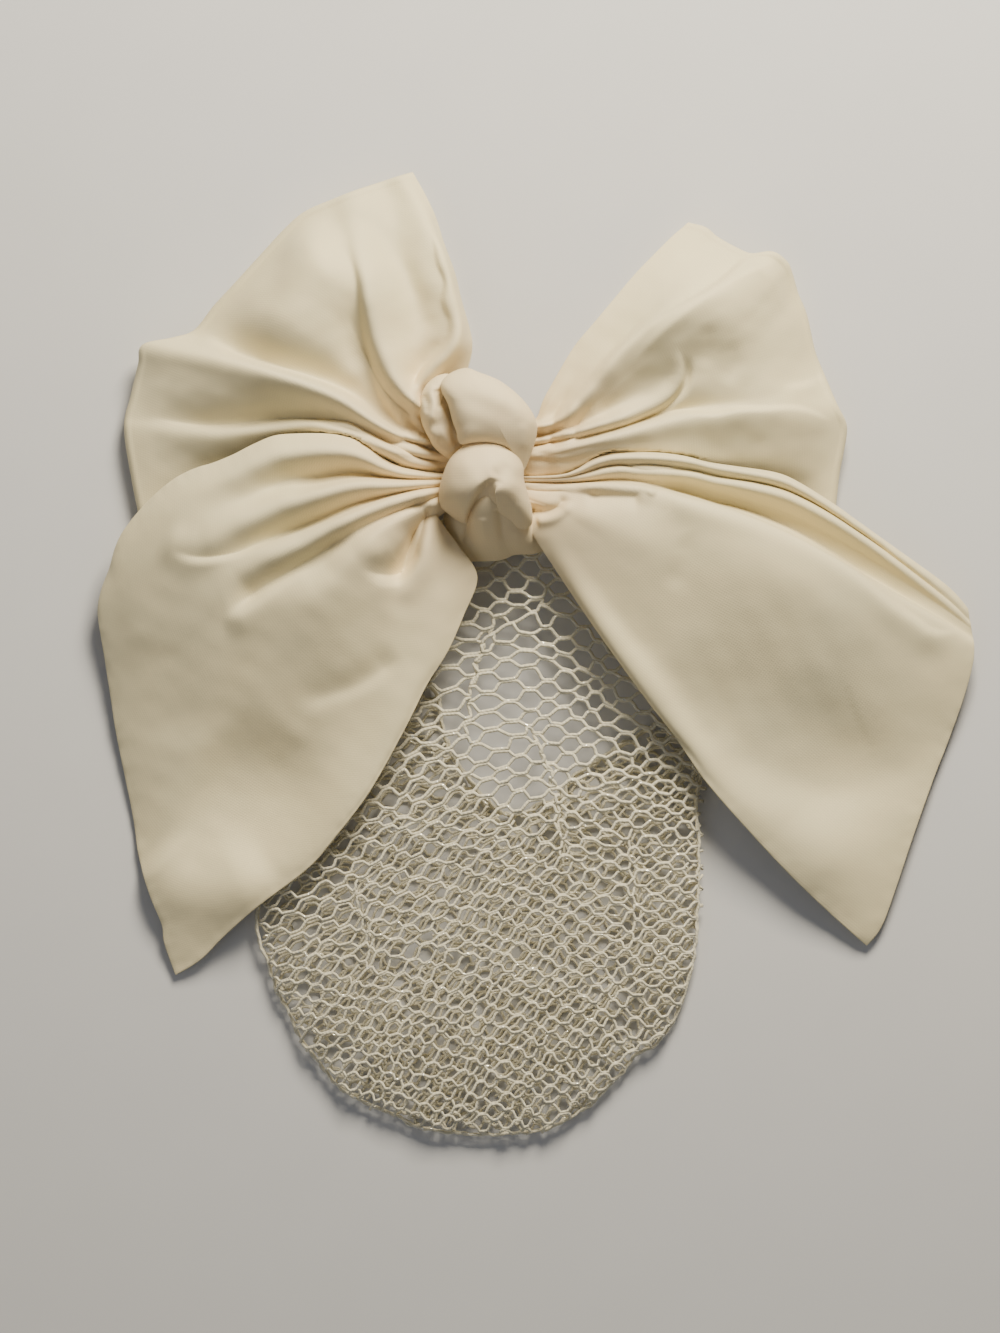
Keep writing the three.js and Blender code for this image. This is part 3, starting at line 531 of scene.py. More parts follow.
# %% Outline points
OUTLINES = {
    "upper_left_loop": dict(
        last=[(-14, 56.6), (-17, 62), (-18, 67), (-17.3, 71.5), (-16, 77), (-16.5, 81), (-18.6, 88.5),
              (-20.3, 95.5), (-23, 103), (-25.2, 110), (-28, 116), (-30, 119.6)],
        end=[(-97, 33), (-99.4, 45), (-101.2, 57.5), (-99.6, 65), (-97.6, 73), (-96.6, 77.4),
             (-89, 79.2), (-83.8, 81), (-79, 86.8), (-74, 92), (-69, 97.4), (-61.2, 105.8), (-56.4, 109.7),
             (-49.5, 112.6), (-39.6, 116.4), (-30, 119.6)]),
    "upper_right_loop": dict(
        first=[(-10.5, 55.6), (-4, 57.6), (0.4, 59), (2.2, 63.5), (5.2, 69), (10, 77), (15, 83), (20, 89),
               (25, 95), (30, 100.3), (34.6, 105), (37.3, 107.4)],
        end=[(37.3, 107.4), (41.6, 106.1), (44.4, 103.8), (49.2, 101), (52.8, 99.5), (58.2, 99.7),
             (61.8, 97.4), (63.2, 94.4), (64.6, 89.6), (66.6, 84.6), (68.6, 75.8), (70.6, 70.6),
             (73.6, 63.4), (76, 58.8), (76.4, 56), (75.6, 51), (74.6, 46), (73.6, 37)]),
    "lower_left_tail": dict(
        first=[(-14, 46.4), (-23, 45.3), (-30, 46), (-34, 47), (-38, 49), (-42, 52), (-46, 54), (-52, 55),
               (-60, 55), (-65, 54.5), (-70, 52.5), (-75, 50), (-80, 48), (-85, 46.5), (-90, 44), (-95, 40),
               (-99, 36), (-103, 31), (-105, 27), (-106.5, 22), (-108.5, 17), (-109, 14)],
        last=[(-14, 41.2), (-22, 39.6), (-25.3, 37.8), (-25, 35.5), (-22, 31), (-19, 27), (-14.6, 19.6),
              (-18, 10), (-22, 1), (-27, -7), (-32, -17), (-38, -28), (-43, -36), (-50, -45), (-57, -53),
              (-69.5, -62.5), (-78, -70), (-84, -76), (-90.3, -80)],
        end=[(-109, 14), (-109.5, 10), (-108, 0), (-106.5, -10), (-105, -20), (-101, -40), (-99.5, -50),
             (-96.5, -60), (-93.6, -67.3), (-93, -72), (-90.3, -80)]),
    "lower_right_tail": dict(
        first=[(-10.5, 45.8), (-4, 44.6), (5, 44.5), (10, 46), (15, 49), (20, 50.3), (30, 50.3), (37, 49.5),
               (43, 48), (50, 47), (60, 45.5), (66, 43), (75, 37.5), (80, 34), (90, 27), (100, 20),
               (105, 16), (108.6, 12)],
        last=[(-10.5, 40.3), (-4, 37.6), (-1.2, 36), (-1, 31.6), (5, 22), (13, 10), (20, 0), (28, -11),
              (35, -20), (43, -31.5), (55, -45), (65, -55.5), (75, -65), (83.6, -72.6)],
        end=[(108.6, 12), (110, 3), (109.5, -3), (107, -12), (103.5, -22), (100, -31), (95, -45),
             (90, -60), (87, -68), (83.6, -72.6)]),
}

# %% Strokes of each wing
STROKES = {
    "upper_left_loop": [
        ([(-27, 54), (-29.2, 59), (-30.2, 63), (-29.2, 67), (-26, 71), (-22, 74.8), (-19.4, 78.6),
          (-18.6, 83), (-20.2, 90), (-22.4, 98), (-25, 107.5)], (2.0, 0.6), 1.1, 1.3, (0.0, 0.15)),
        ([(-31.4, 66), (-28.6, 71), (-24.8, 75), (-22, 79), (-21.4, 83), (-23.2, 88), (-22.8, 93),
          (-24.6, 97.5), (-25.4, 102), (-27.6, 107)], (-2.2, -1.0), 3.0, 0.8, (0.1, 0.15)),
        ([(-30.6, 52.7), (-33.8, 56.6), (-37.6, 62), (-40.4, 68), (-42, 76), (-43.6, 86), (-44.6, 94),
          (-49, 101), (-56, 107)], (-1.6, -0.3), 5.0, 1.6, (0.1, 0.5)),
        ([(-47.5, 88), (-46.4, 78), (-43, 70)], (-0.8, -1.4), 4.5, 3.0, (0.4, 0.3)),
        ([(-31, 55), (-34.5, 61), (-37.5, 67), (-39.6, 76), (-40.8, 86), (-43, 96), (-48, 105)],
         (1.4, 0.4), 1.8, 4.0, (0.1, 0.4)),
        ([(-24.5, 78), (-28, 86), (-33, 95), (-39, 104), (-46, 112)], (-1.8, -1.2), 3.6, 3.4, (0.15, 0.15)),
        ([(-21.3, 48.8), (-25.8, 50), (-30.3, 51.8), (-36.3, 56), (-42, 60.8), (-47, 64.4), (-55, 67.4),
          (-65, 70.4), (-75, 73.6), (-80, 77), (-84.6, 81.4)], (1.2, 1.1), 4.0, 0.8, (0.05, 0.06)),
        ([(-36, 58), (-43, 63), (-49, 66.6), (-57, 69.8), (-67, 72.9), (-75.6, 76), (-81, 80)],
         (-1.6, -1.4), 0.7, 5.0, (0.3, 0.15)),
        ([(-21.5, 47.8), (-26, 48.6), (-31, 50.2), (-37, 53), (-42, 56.2), (-47, 58.6), (-55, 59),
          (-65, 58.6), (-75, 57.6), (-85, 57.8), (-97, 60.2)], (-1.5, -1.1), 0.7, 3.4, (0.05, 0.2)),
        ([(-22, 46.9), (-28.8, 47.6), (-33.3, 49.2), (-40.8, 54), (-47.6, 57), (-58, 57.2), (-70, 56.2),
          (-84, 56.4)], (1.0, 0.6), 1.8, 0.7, (0.1, 0.3)),
        ([(-64, 104), (-65, 94), (-64, 84)], (-0.8, -0.9), 4.0, 7, (0.3, 0.3)),
        ([(-25, 50.9), (-29, 53.4), (-33, 57.4)], (-0.9, -0.6), 0.6, 0.8, (0.1, 0.4)),
        ([(-24, 52), (-27.5, 54.9), (-30.4, 58.6)], (-1.2, -0.8), 0.7, 0.7, (0.1, 0.4)),
        ([(-22, 112), (-24.5, 108.6), (-27.5, 106.8)], (-0.8, -0.3), 0.8, 1.0, (0.1, 0.5)),
        ([(-20, 48.2), (-27, 49), (-34, 51.6), (-41, 55)], (-1.0, -0.6), 0.5, 0.6, (0.1, 0.4)),
        ([(-20, 46.6), (-28, 46.6), (-37, 49), (-46, 52.4)], (-1.0, -0.7), 0.5, 0.7, (0.1, 0.4)),
        ([(-20, 49.9), (-27, 51.4), (-34, 55.2), (-39, 59)], (-0.9, -0.6), 0.5, 0.6, (0.1, 0.4)),
        ([(-76, 74), (-62, 84), (-50, 94), (-42, 104)], (1.0, 2.2), 26.0, 15.0, (0.3, 0.3)),
    ],
    "upper_right_loop": [
        ([(13.6, 67.6), (17, 72), (23, 77.6), (30, 82.6), (38, 87), (46, 92), (54.4, 100)],
         (1.3, 1.6), 0.8, 4.0, (0.15, 0.05)),
        ([(14, 69.6), (20, 76), (27, 81.6), (35, 86.6), (44, 92.2), (52.4, 100)], (-1.0, -1.3), 3.6, 0.7,
         (0.2, 0.05)),
        ([(5, 51), (11.1, 54.8), (19, 57.2), (26, 60), (32, 63.4), (35.4, 67.6), (35.8, 72), (34, 77)],
         (1.6, 2.0), 2.2, 0.8, (0.1, 0.2)),
        ([(22, 57), (30, 60.8), (35.6, 64.8), (38, 69), (37.8, 75)], (-1.2, -1.5), 3.6, 0.9, (0.25, 0.25)),
        ([(14, 60), (20, 63), (26, 67.6), (29, 73)], (-0.7, -0.5), 3.4, 4.0, (0.2, 0.3)),
        ([(2, 49.7), (16.9, 53.5), (27.7, 57.2), (34.7, 59.6), (44.3, 59.3), (50, 60.4), (56, 60.6),
          (65.8, 61), (76, 57.6)], (1.3, 1.1), 0.9, 4.4, (0.05, 0.15)),
        ([(20, 56), (30, 59.4), (36, 61.2), (44.6, 61), (52, 62.2), (62, 62.6)], (-0.8, -1.0), 4.4, 0.8,
         (0.2, 0.3)),
        ([(0, 54), (3, 54.4), (5.2, 51.6)], (-0.5, -0.5), 0.8, 0.8, (0.2, 0.2)),
        ([(4.1, 51.9), (4.3, 56), (5.6, 61), (9.6, 67)], (-1.2, -0.6), 1.0, 1.2, (0.1, 0.3)),
        ([(1, 56), (2.4, 60), (5, 65), (9.4, 71)], (1.0, 0.5), 1.0, 1.3, (0.1, 0.4)),
        ([(7, 54), (8, 58), (11, 64)], (1.0, 0.6), 0.9, 1.2, (0.2, 0.4)),
        ([(9, 53.6), (11, 58), (15, 64)], (-0.9, -0.5), 0.7, 1.0, (0.2, 0.4)),
        ([(-2, 52.4), (4, 52), (12, 53.4)], (-0.4, -0.3), 0.8, 0.8, (0.1, 0.4)),
        ([(-2, 50.8), (6, 50.4), (14, 52)], (-0.5, -0.4), 0.7, 0.8, (0.1, 0.4)),
        ([(-2, 49), (8, 48.6), (18, 51)], (-0.5, -0.3), 0.7, 0.9, (0.1, 0.4)),
        ([(61, 66.4), (67, 67), (73, 69.4)], (0.8, 0.8), 1.0, 2.6, (0.4, 0.05)),
        ([(42, 83), (42.4, 77), (41, 71)], (-0.6, -0.6), 2.6, 3.0, (0.3, 0.3)),
        ([(48, 79), (49, 73), (47, 67)], (-0.5, -0.6), 2.2, 3.0, (0.3, 0.3)),
        ([(22, 70), (34, 82), (48, 92), (62, 99)], (1.2, 2.4), 1.6, 15.0, (0.3, 0.1)),
    ],
    "lower_left_tail": [
        ([(-22.8, 43.6), (-33, 43), (-43.8, 42.2), (-52, 40.4), (-58.8, 38.8), (-64, 39), (-69, 41)],
         (1.7, 1.1), 4.6, 0.8, (0.05, 0.35)),
        ([(-30, 44.8), (-40, 44.4), (-47, 43.8), (-54, 42.4), (-61, 41.8)], (-1.0, -2.2), 0.9, 3.4,
         (0.2, 0.3)),
        ([(-23.6, 42.6), (-30, 40.6), (-36.3, 37.9), (-46.8, 33.7), (-55, 31), (-63.3, 28), (-70.8, 25.6),
          (-76, 24)], (1.3, 1.0), 4.4, 0.8, (0.05, 0.25)),
        ([(-30, 42.2), (-38, 39), (-48, 34.8), (-58, 31.2), (-66, 28.2), (-74, 25.6), (-84, 24.6),
          (-91, 27)], (-0.8, -1.8), 0.9, 5.0, (0.2, 0.15)),
        ([(-93, 30), (-87, 27.4), (-80, 27.2), (-73, 29)], (1.3, 0.8), 4.0, 4.5, (0.2, 0.4)),
        ([(-24.5, 41), (-32, 36.8), (-42, 31.4), (-52, 25.6), (-60, 20)], (0.6, 0.9), 3.4, 2.0, (0.1, 0.4)),
        ([(-44, 31.4), (-52, 26.8), (-60, 22), (-67, 17.8), (-72, 14.4), (-77, 12.6)], (-1.0, -3.2), 2.0,
         4.4, (0.2, 0.22)),
        ([(-54, 21.6), (-61, 17.4), (-68, 13), (-73, 9.8), (-78, 9)], (0.5, 1.3), 4.6, 1.6, (0.2, 0.2)),
        ([(-25.6, 38.6), (-27.6, 33.8), (-29, 28.4), (-30.6, 23.6), (-34, 20.6), (-39, 20.6),
          (-44, 23)], (-2.6, -3.6), 1.3, 3.6, (0.1, 0.45)),
        ([(-23.8, 40.2), (-25.8, 34.8), (-26.9, 29), (-28.4, 23), (-32.6, 17.8), (-38, 17), (-43, 19)],
         (1.0, 1.3), 3.6, 1.2, (0.1, 0.3)),
        ([(-31, 31), (-37, 27), (-45, 25)], (0.8, 1.0), 2.6, 3.0, (0.3, 0.4)),
        ([(-75.6, -5.5), (-66.8, -13.5), (-60, -20.4), (-57.3, -27)], (0.4, 0.6), 4.0, 7.0, (0.4, 0.4)),
        ([(-61, -12.5), (-52, -9.4), (-43.4, -6.6), (-33.1, 0.6)], (-0.8, -1.3), 4.0, 2.2, (0.3, 0.2)),
        ([(-88, -25), (-74, -30), (-60, -34), (-46, -36)], (-3.6, -3.8), 16, 18, (0.3, 0.5)),
        ([(-98, -50), (-88, -58), (-78, -57), (-66, -50)], (3.0, 3.4), 9.0, 9.0, (0.15, 0.3)),
        ([(-96, 8), (-90, -8), (-86, -24)], (-0.8, -1.2), 9.0, 10.0, (0.3, 0.3)),
    ],
    "lower_right_tail": [
        ([(-4, 44.2), (2, 44.2), (8, 44.8), (14, 47.6), (20, 48.9), (30, 49), (38, 48.2), (45, 46.8),
          (56, 45.2), (66, 41.8), (77, 34.6)], (0.7, 0.5), 0.9, 0.8, (0.1, 0.2)),
        ([(12, 46), (20, 47.3), (26, 46.2), (38, 45.7), (45, 44.1), (55, 43.4), (62, 41.4), (70, 37.9),
          (77, 33.4), (82, 30.3), (92, 24.4)], (-1.2, -0.9), 0.6, 0.6, (0.1, 0.15)),
        ([(31, 41.4), (35, 38.9), (42, 37.2), (50, 35.6), (57, 33.2), (65, 30), (75, 24), (85, 16.4),
          (95, 8), (100, 5.5), (107, 5.6)], (1.9, 1.3), 0.6, 4.4, (0.08, 0.12)),
        ([(30, 42.8), (36, 40.2), (44, 38.2), (52, 36.4), (60, 33.4), (70, 28), (80, 21), (92, 11.4),
          (102, 7.2)], (-1.8, -1.3), 5.0, 0.9, (0.08, 0.2)),
        ([(10, 41.4), (18, 42.8), (26, 42), (30.4, 39.8)], (0.9, 0.9), 0.8, 0.8, (0.2, 0.1)),
        ([(12, 39.8), (19, 40), (27, 39.4)], (-1.6, -1.5), 1.4, 2.4, (0.2, 0.15)),
        ([(-1.4, 36.6), (2.8, 36), (6, 37.4), (8, 40)], (-1.6, -1.3), 1.2, 1.5, (0.1, 0.2)),
        ([(0.4, 33.6), (4, 34.2), (7, 36), (9.4, 38.6)], (0.9, 0.9), 0.7, 1.2, (0.1, 0.3)),
        ([(-3, 42.6), (4, 42.2), (12, 42.9), (20, 43.9)], (-0.9, -0.7), 0.6, 0.6, (0.1, 0.4)),
        ([(-3, 41.4), (3, 40.9), (9, 41.2)], (-0.8, -0.6), 0.5, 0.6, (0.1, 0.4)),
        ([(36, 31), (37.2, 25), (33, 16)], (-0.6, -0.5), 3.5, 3.0, (0.3, 0.3)),
        ([(28, -2), (40, -14), (54, -26), (70, -31), (86, -30), (98, -22)], (-1.8, -4.2), 14.0, 9.0,
         (0.3, 0.35)),
        ([(62, -42), (74, -54), (82, -66), (87, -80)], (2.4, 0.4), 10.0, 10.0, (0.35, 0.3)),
        ([(8, 21), (18, 7), (28, -6), (38, -20), (50, -35)], (0.6, 1.1), 2.6, 4.0, (0.3, 0.3)),
    ],
}

# %% [markdown]
# ## Sewing the tails
# A tail is two layers of cloth sewn along the edges and turned right side out. It is a thin cushion
# with no filling: the seam pinches the edges, and the cloth puckers a little beside the seam. The
# distance between the layers grows from the seam inwards.


# %% Seams and puckers
def near_edges(grid):
    """Distance in plan of each grid point from the nearest of the sides and the end."""
    across = walked(grid, 1)
    from_end = walked(grid[::-1], 0)[::-1]
    return np.minimum(np.minimum(across, across[:, -1:] - across), from_end)


def puckers(grid, seam, seed, height=0.12, pitch=4.5, reach=2.2):
    """Small waves beside a seam: a ripple along the cloth times exp(-distance / reach)."""
    return height * ripple(grid[..., 0], grid[..., 1], pitch, seed) * np.exp(-seam / reach)


# %% The middle surface of a tail
CALM_SHARE = 0.16
LOWEST_MIDDLE = 0.98
SEAM_HALF, PUFF_HALF, PUFF_REACH = 0.35, 0.5, 6


def sewn_tail(name, table, seed, rows=230, columns=150):
    """The middle surface of a tail and half its thickness: folds, strokes, puckers beside the seam;
    half = 0.35 mm at the seam, growing softly to 0.85 mm over about 15 mm."""
    s = np.linspace(0, 1, rows)
    grid = pull_to_outline(wing_surface(table, s, np.linspace(0, 1, columns)), OUTLINES[name])
    x, y = grid[..., 0], grid[..., 1]
    seam = near_edges(grid)
    grid[..., 2] += all_strokes(x, y, STROKES[name]) * soft(0, CALM_SHARE, s)[:, None]
    grid[..., 2] += uneven(x, y, seed, (0.22, 30), (0.05, 9))
    grid[..., 2] += puckers(grid, seam, seed + 2)
    grid[..., 2] = np.maximum(grid[..., 2], LOWEST_MIDDLE)
    return grid, SEAM_HALF + PUFF_HALF * (1 - np.exp(-seam / PUFF_REACH))


# %% Thickening cloth along its own normals
SET_UPRIGHT = 0.6


def upward_normals(grid, front_rows=None):
    """Unit normals of a grid: the cross product of its two slopes, turned so that the front's mean
    normal points up."""
    normal = unit(np.cross(np.gradient(grid, axis=0), np.gradient(grid, axis=1)))
    return normal * np.sign(normal[:front_rows, :, 2].mean())


def thick_cloth(name, grid, half, front_rows=None):
    """The closed sheet half above and half below a middle surface, along its normals. Those of a
    tail are turned a little upright, because steep normals would cross in its creases."""
    way = upward_normals(grid, front_rows)
    if front_rows is None:
        way = unit(way + np.array([0, 0, SET_UPRIGHT]))
    offset = way * np.broadcast_to(half, grid.shape[:2])[..., None]
    return shell(name, grid + offset, grid - offset)


tails = {
    "lower_left_tail": sewn_tail("lower_left_tail", LOWER_LEFT_TAIL, 11),
    "lower_right_tail": sewn_tail("lower_right_tail", LOWER_RIGHT_TAIL, 23),
}
for name, (grid, _) in tails.items():
    print(name, "reaches", grid[..., 2].max().round(1), "mm high")

# %% [markdown]
# ## Loops that tuck under the tails
# A loop is one strip: out over the top, round a soft turn, and back low over the clip. Where a tail
# lies on it, the loop gives way and lies lower. A map of the lowest height of the tails over each
# half-millimetre square says how low. Cloth simulation could find the same contact, but it would
# lose the drawn folds.

# %% Giving way to what lies above
MAP_CELL, MAP_LOW, MAP_COUNT = 0.5, -140.0, 560
NOTHING_ABOVE = 60.0


def map_cells(grid):
    """Row and column of the half-millimetre square below each point."""
    cell = ((grid[..., :2] - MAP_LOW) / MAP_CELL).astype(int)
    return np.clip(cell[..., 0], 0, MAP_COUNT - 1), np.clip(cell[..., 1], 0, MAP_COUNT - 1)


def neighbours(chart):
    """The map moved by one square to each of four sides."""
    return [np.roll(chart, step, axis) for step in (-1, 1) for axis in (0, 1)]


def lie_below(grid, above, clearance, margin=3, softness=3):
    """Lowers points to the lowest height of the pieces above, less a clearance. The map is spread
    by margin squares and softened, so the cloth rises gently where the piece above ends."""
    chart = np.full((MAP_COUNT, MAP_COUNT), NOTHING_ABOVE)
    for other in above:
        np.minimum.at(chart, map_cells(other), other[..., 2])
    for _ in range(margin):
        chart = np.minimum.reduce([chart, *neighbours(chart)])
    for _ in range(softness):
        chart = (chart * 2 + sum(neighbours(chart))) / 6
    lowered = grid.copy()
    lowered[..., 2] = np.minimum(grid[..., 2], chart[map_cells(grid)] - clearance)
    return lowered


# %% The back of a loop
LOOP_TURN, LOOP_HALF, LOOP_WALL = 1.7, 0.36, 1.2
BACK_REACH, BACK_POWER, BACK_GAP = 0.86, 7, 2.2
CLIP_HALF_LENGTH, CLIP_HALF_WIDTH, CLIP_TOP, DRAPE_REACH = 40, 4.5, 7.8, 26
LEAST_GAP = 0.3


def draped_height(x, y):
    """The floor, or the clip's top where the cloth crosses it, with a slope about 26 mm wide."""
    over = np.hypot(np.maximum(0, abs(x - KNOT_SPOT[0]) - CLIP_HALF_LENGTH),
                    np.maximum(0, abs(y - KNOT_SPOT[1]) - CLIP_HALF_WIDTH))
    lift = 1 - soft(2, DRAPE_REACH, over)
    return LOOP_WALL / 2 + lift * (CLIP_TOP + LEAST_GAP)


def folded_back(plain, front, s):
    """The same plan as the front's, back to 14% of the way out. Its height goes from the turn's low
    side down to the draped height, by the share of the way out to the power 7."""
    share = np.linspace(1, 1 - BACK_REACH, 66)[1:]

    def at_share(layer):
        """One coordinate of the front, read column by column at the back's shares of the way out."""
        return np.stack([np.interp(share, s, column) for column in layer.T], -1)

    x, y = at_share(plain[..., 0]), at_share(plain[..., 1])
    low = draped_height(x, y)
    height = low + (front[-1, :, 2] - 2 * LOOP_TURN - low) * (share**BACK_POWER)[:, None]
    return np.stack([x, y, np.minimum(height, at_share(front[..., 2]) - BACK_GAP * LOOP_WALL)], -1)


# %% A whole loop
TAIL_HALF, TAIL_GAP = 0.75, 1.3
END_CALM_FROM, END_CALM = 0.93, 0.75


def folded_loop(name, table, seed, above, rows=190, columns=150):
    """Front: the folded surface with strokes, calmer at the knot and in the last 7% before the turn.
    Turn: a half circle of radius 1.7 mm. Back: what folded_back gives."""
    s = np.linspace(0, 1, rows)
    plain = pull_to_outline(wing_surface(table, s, np.linspace(0, 1, columns)), OUTLINES[name])
    front = plain.copy()
    x, y = front[..., 0], front[..., 1]
    calm = (soft(0, CALM_SHARE, s) * (1 - END_CALM * soft(END_CALM_FROM, 1, s)))[:, None]
    front[..., 2] += all_strokes(x, y, STROKES[name]) * calm
    front[..., 2] += uneven(x, y, seed, (0.3, 24), (0.07, 7)) * calm
    front = lie_below(front, above, TAIL_GAP)
    front[..., 2] = np.maximum(front[..., 2], 2 * LOOP_TURN + LOOP_HALF + LEAST_GAP)
    outward = plain[-1] - plain[-int(rows * 0.1)]
    outward[..., 2] = 0
    angle = np.linspace(0, np.pi, 12)[1:, None, None]
    arc = np.sin(angle) * unit(outward) + (np.cos(angle) - 1) * np.array([0, 0, 1.0])
    return np.concatenate([front, front[-1] + LOOP_TURN * arc, folded_back(plain, front, s)]), rows


tail_bellies = [grid - np.array([0, 0, TAIL_HALF]) for grid, _ in tails.values()]
loops = {
    "upper_left_loop": folded_loop("upper_left_loop", UPPER_LEFT_LOOP, 31, tail_bellies),
    "upper_right_loop": folded_loop("upper_right_loop", UPPER_RIGHT_LOOP, 47, tail_bellies),
}
pieces = {}
for name, (grid, half) in tails.items():
    pieces[name] = thick_cloth(name + "_cloth", grid, half)
for name, (grid, front_rows) in loops.items():
    pieces[name] = thick_cloth(name + "_cloth", grid, LOOP_HALF, front_rows)
print("made", ", ".join(piece.name for piece in pieces.values()))

# %% [markdown]
# ## The knot
# The knot is a roll of the same cloth that goes over, curls below itself and ends in a short sash.
# Each roll is a rounded lump: rings of points run from the middle of its top to a closed outline,
# and on to the middle of its underside. The top's height is a smooth crown with strokes for the
# curl, so that the silhouette and the creases are both as drawn.


# %% Closed rings of points
def smooth_ring(points, count):
    """A closed Catmull-Rom curve through points, at count places."""
    wrapped = np.concatenate([points[-3:], points, points[:4]])
    inner = np.linspace(3, 3 + len(points), count, endpoint=False) / (len(wrapped) - 1)
    return smooth_line(wrapped, inner)


def closed_rings(name, rings, first_pole, last_pole):
    """A closed mesh from rings of points (ring, place, 3), with a fan of faces at each pole."""
    amount, places = rings.shape[:2]
    points = np.concatenate([rings.reshape(-1, 3), [first_pole, last_pole]])
    corner = np.arange(amount * places).reshape(amount, places)
    this, after = corner[:-1], corner[1:]
    quads = np.stack([this, np.roll(this, -1, 1), np.roll(after, -1, 1), after], -1).reshape(-1, 4)
    poles = np.full(places, amount * places)
    fans = np.concatenate([
        np.stack([poles, np.roll(corner[0], -1), corner[0]], -1),
        np.stack([poles + 1, corner[-1], np.roll(corner[-1], -1)], -1)])
    if signed_volume(points, quads) < 0:
        quads, fans = quads[:, ::-1], fans[:, ::-1]
    return put_mesh(name, points, quads.tolist() + fans.tolist(), uv=points[:, :2] * MM)


def crown(x, y, height, middle, bend_across, bend_beyond, bend_below):
    """Height - bend * (distance from the middle)^2, with its own bend across x, and beyond and below
    the middle's y."""
    away = y - middle[1]
    along = bend_beyond * np.maximum(0, away) ** 2 + bend_below * np.minimum(0, away) ** 2
    return height - along - bend_across * (x - middle[0]) ** 2


def lump(name, centre, outline, top_shape, strokes, belly, fullness, rings, places, seed):
    """Top: edge height + (crown - edge height) * (1 - r^fullness)^(1/2), plus strokes that fade at
    the edge; underside: edge height - belly * (1 - r^2)^(1/2); r goes from 0 to 1 at the outline."""
    edge = smooth_ring(outline, places)
    r = np.sin(np.linspace(0, np.pi / 2, rings + 1))[1:, None]
    centre = np.array(centre, float)
    plan = centre + (edge[None, :, :2] - centre) * r[..., None]
    x, y = plan[..., 0], plan[..., 1]
    rise = np.sqrt(np.maximum(0, 1 - r**fullness))
    detail = all_strokes(x, y, strokes) + uneven(x, y, seed, (0.12, 7))
    top = edge[:, 2] + (crown(x, y, *top_shape) - edge[:, 2]) * rise + detail * (1 - r**9)
    low = edge[:, 2] - belly * np.sqrt(np.maximum(0, 1 - r**2))
    upper = np.concatenate([plan, top[..., None]], -1)
    lower = np.concatenate([plan, low[..., None]], -1)[-2::-1]
    poles = [np.append(centre, layer[..., 2].mean()) for layer in (upper[:1], lower[-1:])]
    return closed_rings(name, np.concatenate([upper, lower]), *poles)


# %% The roll over the knot
OVER_OUTLINE = [
    (-17.3, 71.4, 25), (-14, 70.3, 26), (-9.5, 68.5, 27), (-6.2, 66.3, 27), (-3.3, 63.7, 26.5),
    (-0.9, 60.6, 26), (0.4, 57.6, 25.5), (0.35, 55, 25.4), (-0.3, 52.2, 25.4), (-1.2, 49.6, 25.6),
    (-2.1, 47.3, 26), (-2.9, 45.9, 26.6), (-3.7, 46.4, 27.8), (-4.6, 48.4, 29.6), (-6, 50.4, 31),
    (-8, 51.8, 31.8), (-11.4, 52.7, 32.2), (-15.4, 52.6, 31.6), (-18.2, 52.2, 30.4), (-19.2, 53.6, 29.4),
    (-19.6, 55.6, 29), (-20.5, 58, 29), (-21.7, 62.4, 29), (-23.2, 65.4, 28), (-23.3, 67.7, 27),
    (-21.2, 70, 25.8)]
OVER_STROKES = [
    ([(-20.5, 68), (-15, 66.4), (-9, 63.6), (-4.4, 59.6)], (0.2, 0.25), 3.4, 3.4, (0.3, 0.3)),
    ([(-3.2, 58), (-2.4, 54), (-2.8, 50)], (0.3, 0.4), 1.6, 1.8, (0.3, 0.3)),
]
knot_roll = lump(
    "knot_over_roll", (-11.2, 60.4), OVER_OUTLINE, (37.0, (-10.5, 61), 0.012, 0.037, 0.037),
    OVER_STROKES, belly=9.0, fullness=5.5, rings=70, places=220, seed=61)

# %% The curl below it
UNDER_OUTLINE = [
    (-19, 51, 29), (-15, 53.8, 30.6), (-10.8, 54.4, 31.2), (-6.8, 52.8, 30.6), (-4.4, 50, 29),
    (-3, 46.9, 27.6), (-2.8, 43.6, 27), (-1.8, 40.2, 25.5), (-0.8, 36.2, 23.5), (-0.8, 32.9, 21.4),
    (-2.8, 31.4, 20.2), (-5.4, 31.9, 20), (-8, 33.6, 19.8), (-10.6, 34.8, 19.8), (-13, 34.4, 19.8),
    (-15.2, 33.4, 19.6), (-16.9, 32.9, 19.6), (-18.8, 33.4, 19.8), (-21.2, 35, 20.2),
    (-23.5, 37.1, 21), (-24, 40.2, 22.5), (-23, 44.7, 24.6), (-21.4, 48.4, 27)]
UNDER_STROKES = [
    ([(-7.8, 41.6), (-9.6, 42.6), (-11.6, 42), (-13.6, 39.8), (-15.2, 36.8), (-16.4, 33.4)], (-1.0, -6.6),
     3.6, 0.9, (0.3, 0.0)),
    ([(-8, 41.6), (-7.2, 38.2), (-6.8, 35), (-6.8, 32)], (-1.6, -3.6), 3.4, 3.6, (0.5, 0.0)),
    ([(-11, 44), (-13.6, 43), (-15.8, 41), (-17.6, 38.2), (-18.4, 35)], (0.4, 0.7), 1.4, 2.4, (0.3, 0.1)),
    ([(-3.8, 45), (-5.6, 42.4), (-6.4, 39), (-6, 35)], (0.3, 0.7), 2.0, 2.0, (0.3, 0.2)),
    ([(-5.6, 47.6), (-8.4, 45.2), (-11, 43.8)], (-0.4, -0.9), 2.0, 1.8, (0.35, 0.3)),
]
knot_curl = lump(
    "knot_under_curl", (-12.4, 44.6), UNDER_OUTLINE, (37.2, (-11.5, 44.5), 0.022, 0.07, 0.04),
    UNDER_STROKES, belly=6.0, fullness=3.0, rings=90, places=260, seed=67)

